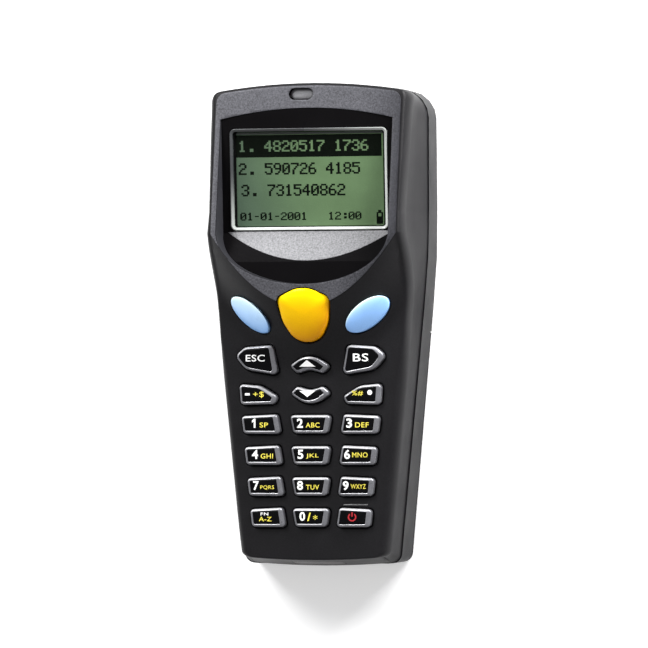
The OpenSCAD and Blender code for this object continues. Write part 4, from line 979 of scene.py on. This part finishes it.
# what the screen shows, in the tilted frame: cells are dots from digit to digit, places are upper left
# corners and dots are their width and height; the bar's size and margin are in half dots
inkLook = dict(cell=6, digitRows=7, digitWidth=5, overlap=1.05, lift=0.012, barText="1. 4820517 1736",
    barPlace=(-19.1, 11.15), barDot=(0.378, 0.4), barSize=(28, 200), barMargin=(7, 3), markPlace=(17.1, -8.0),
    markDot=(0.42, 0.54), maskIn=0.1, maskGap=0.12, maskLift=0.014)
screenRows = [("2. 590726 4185", (-18.5, 4.1), (0.378, 0.42)), ("3. 731540862", (-17.9, -1.3), (0.378, 0.42)),
    ("01-01-2001   12:00", (-18.3, -8.35), (0.293, 0.285))]


# a line of digits as a grid of half dots, its strokes widened by one of them to the right
def lineDots(text):
    step, rows, width = (2 * inkLook[key] for key in ("cell", "digitRows", "digitWidth"))
    grid = np.zeros((rows, step * len(text) + 1), bool)
    for k, mark in enumerate(text):
        dots = np.array([[c == "1" for c in row] for row in digitDots[mark].split()])
        grid[:, k * step:k * step + width] = dots.repeat(2, 0).repeat(2, 1)
    grid[:, 1:] |= grid[:, :-1].copy()
    return grid


# corners of the quads for a grid's set half dots, each a little wider than its place, so that none gape
def dotQuads(grid, place, dot):
    row, column = np.nonzero(grid)
    w, h = dot[0] / 2, dot[1] / 2
    left, top = place[0] + column * w, place[1] - row * h
    right, low = left + w * inkLook["overlap"], top - h * inkLook["overlap"]
    corners = ((left, low), (right, low), (right, top), (left, top))
    return np.stack([np.stack(corner, 1) for corner in corners], 1).reshape(-1, 2)


# the cell mark: a filled body with a light band and a small tip
def cellDots():
    grid = np.ones((13, 8), bool)
    grid[:2, :2] = grid[:2, 6:] = False
    grid[3:6, 2:6] = False
    return grid


# the bar with its digits left out, the rows and the cell mark, just above the pane
def buildInk():
    look = inkLook
    digits = lineDots(look["barText"])
    down, right = look["barMargin"]
    bar = np.ones(look["barSize"], bool)
    bar[down:down + digits.shape[0], right:right + digits.shape[1]] = ~digits
    quads = [dotQuads(bar, look["barPlace"], look["barDot"])]
    quads += [dotQuads(lineDots(text), place, dot) for text, place, dot in screenRows]
    quads.append(dotQuads(cellDots(), look["markPlace"], look["markDot"]))
    points = tiltedRing(np.concatenate(quads), look["lift"] - screen["paneTop"])
    faces = np.arange(len(points)).reshape(-1, 4).tolist()
    settle(makePiece("screenInk", points, faces, materials["screen_ink"]), "housing")


# dark mask above the screen's first row
def buildMask():
    look = inkLook
    w, top = paneW / 2 - look["maskIn"], paneH / 2 - look["maskIn"]
    low = look["barPlace"][1] + look["maskGap"]
    flat = np.array([[-w, low], [w, low], [w, top], [-w, top]])
    points = tiltedRing(flat, look["maskLift"] - screen["paneTop"])
    settle(makePiece("screenMask", points, [[0, 1, 2, 3]], materials["mask_grey"]), "housing")


# the bezel before its outline is cut: half its width, how far it goes past the recess at both ends, and
# its steps over the strip, the ramp and the floor; then the corner of the view and the cutters' heights
bezelLook = dict(halfW=26.0, pastLow=2.0, pastHigh=4.0, steps=(7, 9, 14), viewR=1.0, lensReach=6,
    viewReach=(-6, 8), outlineLow=10, crease=20)


# the line of the bezel's face and the same line lower by its thickness, carried across the recess
def buildBezel():
    look, fit, low = bezelLook, casing["fit"], display["recessLow"]
    ends = ((low, chinEnd), (chinEnd, chinTop), (chinTop, recessTop + look["pastHigh"]))
    runs = [np.linspace(a, b, count)[1:] for (a, b), count in zip(ends, look["steps"])]
    y = arrayOf([low - look["pastLow"]], *runs)
    line = np.stack([y, bezelZ(y)], 1)
    profile = np.concatenate([line, line[::-1] - [0, display["bezelT"]]])
    sides = [np.column_stack([np.full(len(profile), x), profile]) for x in (-look["halfW"], look["halfW"])]
    bezel = skin("displayBezel", sides, materials["black_gloss"], look["crease"])
    outline = grown(recessOutline(), -fit)
    combine(bezel, "INTERSECT", [prism("bezelOutline", outline, look["outlineLow"], cutHigh)])
    lens = rectOutline(display["lensW"] + 2 * fit, lensH + 2 * fit, display["lensR"])
    view = rectOutline(display["screenW"], lensH - 2 * display["screenEdge"], look["viewR"])
    lensEnds = (display["lensProud"] - display["lensT"], look["lensReach"])
    combine(bezel, "DIFFERENCE", [skin("lensSeat", [tiltedRing(lens, z) for z in lensEnds]),
        skin("viewCut", [tiltedRing(view, z) for z in look["viewReach"]])])
    smoothByAngle(bezel, look["crease"])
    dress(bezel, materials["black_gloss"])
    settle(bezel, "housing", ["display_bezel"])


chinLook = dict(sideGap=0.3, topGap=0.25, lowGap=0.2, bowEnd=0.985, chord=0.9, chordLift=0.01, points=240,
    rise=0.1, round=0.18, bury=0.4)


# the silver crescent: a parabola below and a straight chord above, its edge rounded
def buildChin():
    look = chinLook
    w = display["recessW"] - look["sideGap"]
    high, low = display["lensLow"] - look["topGap"], chinEnd + look["lowGap"]
    x = w * np.linspace(-look["bowEnd"], look["bowEnd"], 61)
    chord = [[side * look["chord"] * w, high + look["chordLift"]] for side in (1, -1)]
    outline = evened(arrayOf(np.stack([x, low + (high - low) * (x / w) ** 2], 1), chord), look["points"])
    rings = [ringAt(outline, bezelZ(outline[:, 1]) - look["bury"])]
    for across, below in quarterTurn(5):
        ring = grown(outline, -look["round"] * across)
        rings.append(ringAt(ring, bezelZ(ring[:, 1]) + look["rise"] - look["round"] * below))
    settle(skin("chinPlate", rings, materials["chin_silver"], 40), "housing", ["chin_plate"])


lightLook = dict(fit=0.3, sink=0.35, domeH=0.5, domeW=1.0, domeFrom=15)


# the status light: a slot with a domed top, just under the face
def buildStatusLight():
    look = lightLook
    outline = slotOutline(casing["lightW"] - look["fit"], casing["lightH"] - look["fit"], 20)
    low = form["noseZ"] - casing["lightDeep"]
    side = float(frontZ(*lightPlace)) - look["sink"] - look["domeH"]
    rings = [ringAt(outline, low), ringAt(outline, side)]
    for a in np.radians(np.linspace(look["domeFrom"], 90, 6)):
        ring = grown(outline, -look["domeW"] * (1 - math.cos(a)))
        rings.append(ringAt(ring, side + look["domeH"] * math.sin(a)))
    rings = [ring + [*lightPlace, 0] for ring in rings]
    light = skin("statusLight", rings, materials["light_grey"], 40)
    settle(light, "housing", ["status_light"])


buildLiner()
buildMask()
buildLens()
buildScreen()
buildInk()
buildBezel()
buildChin()
buildStatusLight()
print("display built")


# legends: text or sign, colour, place on the key, width and height in millimetres
keyMarks = dict(
    number_1=[("one", "white", -2.15, 0.3, 1.0, 2.3), ("SP", "yellow", 0.45, -0.15, 2.2, 1.25)],
    number_2=[("2", "white", -2.85, 0.3, 1.55, 2.35), ("ABC", "yellow", 0.45, -0.18, 3.6, 1.25)],
    number_3=[("3", "white", -2.8, 0.3, 1.5, 2.35), ("DEF", "yellow", 0.5, -0.15, 3.5, 1.25)],
    number_4=[("4", "white", -2.45, 0.3, 1.6, 2.35), ("GHI", "yellow", 0.65, -0.15, 3.2, 1.25)],
    number_5=[("5", "white", -2.75, 0.3, 1.5, 2.35), ("JKL", "yellow", 0.35, -0.15, 3.3, 1.25)],
    number_6=[("6", "white", -2.8, 0.3, 1.5, 2.35), ("MNO", "yellow", 0.5, 0.15, 4.0, 1.25)],
    number_7=[("7", "white", -2.75, 0.25, 1.5, 2.3), ("PQRS", "yellow", 0.15, -0.25, 3.6, 1.1)],
    number_8=[("8", "white", -2.9, 0.3, 1.5, 2.3), ("TUV", "yellow", 0.35, -0.15, 3.4, 1.2)],
    number_9=[("9", "white", -2.65, 0.25, 1.5, 2.3), ("WXYZ", "yellow", 0.6, 0.05, 3.9, 1.15)],
    alpha_key=[("FN", "white", -1.15, 0.93, 2.0, 0.75), ("A-Z", "yellow", -0.95, -0.35, 3.3, 1.1)],
    number_0=[("0", "white", -2.35, 0.35, 1.45, 2.25), ("/", "yellow", -0.6, 0.25, 0.95, 2.1),
        ("*", "yellow", 1.0, 0.1, 1.15, 1.15)],
    power_key=[("ring", "red", -0.5, 0.2, 2.2, 2.2)],
    escape_key=[("ESC", "white", -0.6, 0.5, 4.95, 1.7)],
    backspace_key=[("BS", "white", -0.85, 0.58, 4.0, 2.0)],
    up_key=[("up", "white", -0.73, 0.55, 4.2, 1.7)],
    down_key=[("down", "white", -0.9, 0.15, 4.1, 1.5)],
    minus_key=[("dash", "white", -3.15, 0.1, 1.24, 0.56), ("+$", "yellow", -0.25, 0.0, 2.8, 1.6)],
    percent_key=[("%#", "yellow", -1.3, 0.3, 2.9, 1.3), ("dot", "white", 1.9, 0.5, 1.25, 1.25)])

# how much bolder the strokes are: of one character, of more than one, and of the fine ones
legendLook = dict(weights=(0.028, 0.008, 0.005), fine=("+$", "%#", "FN", "*"), spacing=1.08, curveSteps=4,
    lift=0.03)
legendSlots = dict(white="white_plastic", yellow="key_yellow", red="scan_red")


# flat faces of a word, fitted into a square of side one round the middle
def wordShape(text):
    look = legendLook
    curve = bpy.data.curves.new("word", "FONT")
    curve.body = text
    curve.offset = look["weights"][2 if text in look["fine"] else min(len(text), 2) - 1]
    curve.space_character = look["spacing"]
    curve.resolution_u = look["curveSteps"]
    word = bpy.data.objects.new("word", curve)
    bpy.context.scene.collection.objects.link(word)
    bpy.context.view_layer.update()
    mesh = bpy.data.meshes.new_from_object(word.evaluated_get(bpy.context.evaluated_depsgraph_get()))
    co = np.zeros(len(mesh.vertices) * 3)
    mesh.vertices.foreach_get("co", co)
    points = co.reshape(-1, 3)[:, :2]
    faces = [list(f.vertices) for f in mesh.polygons]
    bpy.data.objects.remove(word)
    bpy.data.curves.remove(curve)
    bpy.data.meshes.remove(mesh)
    low, high = points.min(0), points.max(0)
    return (points - (low + high) / 2) / (high - low), faces


# points round a circle between two angles in degrees
def circlePoints(radius, start, end, count, closed=False):
    t = np.radians(np.linspace(start, end, count, endpoint=not closed))
    return radius * np.stack([np.cos(t), np.sin(t)], 1)


# the power sign: a ring open at the top, as quads between two circles, and a bar in its gap
def ringShape():
    count = 48
    i = np.arange(count - 1)
    inner, outer = (circlePoints(radius, 128, 412, count) for radius in (0.34, 0.5))
    bar = np.array([[-0.075, 0.05], [0.075, 0.05], [0.075, 0.56], [-0.075, 0.56]])
    faces = np.stack([count + i, count + i + 1, i + 1, i], 1).tolist()
    return np.vstack([inner, outer, bar]), faces + [[2 * count + k for k in range(4)]]


# the other drawn signs, each one face in a square of side one
signPoints = dict(
    up=np.array([[-0.5, -0.5], [0.5, -0.5], [0, 0.5]]),
    down=np.array([[0.5, 0.5], [-0.5, 0.5], [0, -0.5]]),
    one=np.array([[-0.02, -0.5], [0.42, -0.5], [0.42, 0.5], [0.08, 0.5], [-0.5, 0.28], [-0.5, 0.05],
        [-0.02, 0.19]]),
    dash=np.array([[-0.5, -0.5], [0.5, -0.5], [0.5, 0.5], [-0.5, 0.5]]),
    dot=circlePoints(0.5, 0, 360, 32, closed=True))


# points and faces of a legend, drawn or set in type
def markShape(text):
    if text == "ring":
        return ringShape()
    if text in signPoints:
        return signPoints[text], [list(range(len(signPoints[text])))]
    return wordShape(text)


# a key's legends of one colour as one flat piece, just above its insert
def buildMark(name, colour, rows):
    points, faces, count = [], [], 0
    for text, _, x, y, w, h in rows:
        shape, shapeFaces = markShape(text)
        points.append(shape * [w, h] + [x, y])
        faces += [[corner + count for corner in face] for face in shapeFaces]
        count += len(shape)
    lift = keyLook["faceCrown"] - keyLook["faceDrop"] + legendLook["lift"]
    flat = onPlane(np.concatenate(points), keyShapes[name][0], facePlane(name), lift)
    piece = makePiece(name + colour.capitalize() + "Mark", flat, faces, materials["mark_" + colour])
    settle(piece, name)


for name, marks in keyMarks.items():
    for colour in legendSlots:
        rows = [mark for mark in marks if mark[1] == colour]
        if rows:
            buildMark(name, colour, rows)
print("legends built")


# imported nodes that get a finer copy, with their body and the width of their rounded edges
refinedNodes = dict(rear_shell=("housing", 0.0), battery_cover=("battery_cover", 0.12),
    cover_latch=("cover_latch", 0.1), scan_window=("housing", 0.1))
refineLook = dict(merge=2e-6, flat=0.6, crease=38)


# a copy of a node's mesh with its points merged, flat triangles joined and edges softened
def refined(name, body, width):
    look = refineLook
    first, *rest = name.split("_")
    title = first + "".join(word.capitalize() for word in rest)
    piece = bpy.data.objects.new(title, frame["nodes"][name].data.copy())
    bpy.context.scene.collection.objects.link(piece)
    work = bmesh.new()
    work.from_mesh(piece.data)
    bmesh.ops.remove_doubles(work, verts=work.verts, dist=look["merge"])
    bmesh.ops.dissolve_limit(work, angle_limit=math.radians(look["flat"]), verts=work.verts, edges=work.edges)
    work.to_mesh(piece.data)
    work.free()
    if width:
        roundEdges(piece, width, look["crease"])
    smoothByAngle(piece, look["crease"])
    weighted = piece.modifiers.new("weighted", "WEIGHTED_NORMAL")
    weighted.keep_sharp = True
    applyAll(piece)
    settle(piece, body, [name])


irLook = dict(sunk=0.03, past=0.6, thinner=0.1)


# the infrared window: a layer just inside the tail face, which it follows, a little thinner than the wall
def buildIrWindow():
    pane = frontForm("irWindow", irLook["sunk"], casing["pitch"])
    combine(pane, "INTERSECT", [irBlock("irBlock", 0, form["wall"] + irLook["past"])])
    inside = frontForm("irInside", form["wall"] - irLook["thinner"], casing["inside"], innerPast)
    combine(pane, "DIFFERENCE", [inside])
    smoothByAngle(pane, casing["crease"])
    dress(pane, materials["ir_black"])
    settle(pane, "housing", ["ir_window"])


ribLook = dict(row=3, length=6.4, width=0.6, rise=0.3, drawIn=0.28, bury=0.5, behind=0.8, topTurn=80)


# the raised mark behind the power key: a slot outline with a rounded top
def buildPowerRib():
    look = ribLook
    x = keypad["columnX"] - look["row"] * keypad["columnStep"]
    y = keypad["numberY"] - look["row"] * keypad["pitch"] + keypad["keyH"] / 2 + look["behind"]
    outline = slotOutline(look["length"], look["width"], 16) + [x, y]
    rings = [ringAt(outline, form["deckZ"] - look["bury"])]
    for a in np.radians(np.linspace(0, look["topTurn"], 5)):
        ring = grown(outline, -look["drawIn"] * (1 - math.cos(a)))
        rings.append(ringAt(ring, form["deckZ"] + look["rise"] * math.sin(a)))
    settle(skin("powerRib", rings, materials["rib"], 40), "housing")


for name, (body, width) in refinedNodes.items():
    refined(name, body, width)
buildIrWindow()
buildPowerRib()
print("remaining pieces finished")


# the view: turns in degrees, distance and shift in millimetres, and pixels per millimetre in a square
# render of that many pixels
view = dict(yaw=14.23, pitch=-0.19, roll=0.27, distance=1500.0, scale=3.917, shift=(2.31, -0.38), pixels=648,
    sensor=36.0, clip=(0.05, 20.0))


# from the object to the camera: a turn about the length, then one across it, then one in the image
def viewTurn():
    yaw, pitch, roll = (math.radians(view[key]) for key in ("yaw", "pitch", "roll"))
    return Matrix.Rotation(roll, 3, "Z") @ Matrix.Rotation(pitch, 3, "X") @ Matrix.Rotation(-yaw, 3, "Y")


# a long lens, as far off as the view says and at its scale
def makeCamera():
    back = viewTurn().transposed()
    lens = bpy.data.cameras.new("camera")
    lens.sensor_width = view["sensor"]
    lens.lens = view["sensor"] * view["scale"] * view["distance"] / view["pixels"]
    lens.clip_start, lens.clip_end = view["clip"]
    camera = bpy.data.objects.new("camera", lens)
    bpy.context.scene.collection.objects.link(camera)
    eye = back @ Vector((-view["shift"][0], -view["shift"][1], view["distance"]))
    camera.matrix_world = Matrix.Translation(eye * mm) @ back.to_4x4()
    bpy.context.scene.camera = camera


makeCamera()
bpy.context.scene.view_settings.view_transform = "Standard"
skyLook = dict(dome=0.95, level=(0.9, 0.9, 0.9, 1), overhead=(0.35, 0.35, 0.36, 1))


# white to the camera and to mirror-like rays, and for the light a sky that greys overhead
def makeWorld():
    world = bpy.data.worlds.new("studio")
    bpy.context.scene.world = world
    world.use_nodes = True
    tree = world.node_tree
    rays = addNode(tree, "LightPath")
    seen = addNode(tree, "Math", operation="MAXIMUM")
    mirrored = addNode(tree, "Math", operation="MAXIMUM")
    where = addNode(tree, "TexCoord")
    split = addNode(tree, "SeparateXYZ")
    ramp = addNode(tree, "ValToRGB")
    dome = addNode(tree, "Background", {"Strength": skyLook["dome"]})
    white = addNode(tree, "Background", {"Color": (1, 1, 1, 1), "Strength": 1.0})
    pick = addNode(tree, "MixShader")
    for element, colour in zip(ramp.color_ramp.elements, (skyLook["level"], skyLook["overhead"])):
        element.color = colour
    wire(tree,
        (rays, "Is Camera Ray", seen, 0), (rays, "Is Glossy Ray", mirrored, 0),
        (rays, "Is Transmission Ray", mirrored, 1), (mirrored, 0, seen, 1),
        (where, "Generated", split, 0), (split, "Z", ramp, "Fac"), (ramp, "Color", dome, "Color"),
        (seen, 0, pick, "Fac"), (dome, 0, pick, 1), (white, 0, pick, 2),
        (pick, 0, tree.nodes["World Output"], "Surface"))


# a square lamp, its place and aim in metres
def areaLamp(name, place, aim, size, power):
    data = bpy.data.lights.new(name, "AREA")
    data.shape = "SQUARE"
    data.size = size
    data.energy = power
    lamp = bpy.data.objects.new(name, data)
    bpy.context.scene.collection.objects.link(lamp)
    toward = Vector(aim) - Vector(place)
    lamp.matrix_world = Matrix.Translation(place) @ toward.to_track_quat("-Z", "Y").to_matrix().to_4x4()


makeWorld()
areaLamp("keyLamp", (-0.5, 0.75, 0.8), (0, 0, 0.02), 0.45, 16.0)
areaLamp("sideLamp", (0.28, 0.3, 0.12), (0.02, 0.04, 0.02), 0.2, 5.0)
floorLook = dict(reach=3000.0, tone=0.8, glow=0.35)


# pale floor that lets light and views from below through
def makeFloor():
    reach, tone = floorLook["reach"], floorLook["tone"]
    corners = [[-reach, -reach, 0], [reach, -reach, 0], [reach, reach, 0], [-reach, reach, 0]]
    material, tree = newMaterial("floorWhite")
    shader = tree.nodes["Principled BSDF"]
    setInputs(shader, {"Base Color": (tone, tone, tone, 1), "Roughness": 0.9, "Specular IOR Level": 0.0,
        "Emission Color": (1, 1, 1, 1), "Emission Strength": floorLook["glow"]})
    side = addNode(tree, "NewGeometry")
    rays = addNode(tree, "LightPath")
    hide = addNode(tree, "Math", operation="MAXIMUM")
    clear = addNode(tree, "BsdfTransparent")
    pick = addNode(tree, "MixShader")
    wire(tree,
        (side, "Backfacing", hide, 0), (rays, "Is Shadow Ray", hide, 1), (hide, 0, pick, "Fac"),
        (shader, 0, pick, 1), (clear, 0, pick, 2), (pick, 0, tree.nodes["Material Output"], "Surface"))
    makePiece("floor", corners, [[0, 1, 2, 3]], material)


makeFloor()
print("camera, light and floor set")
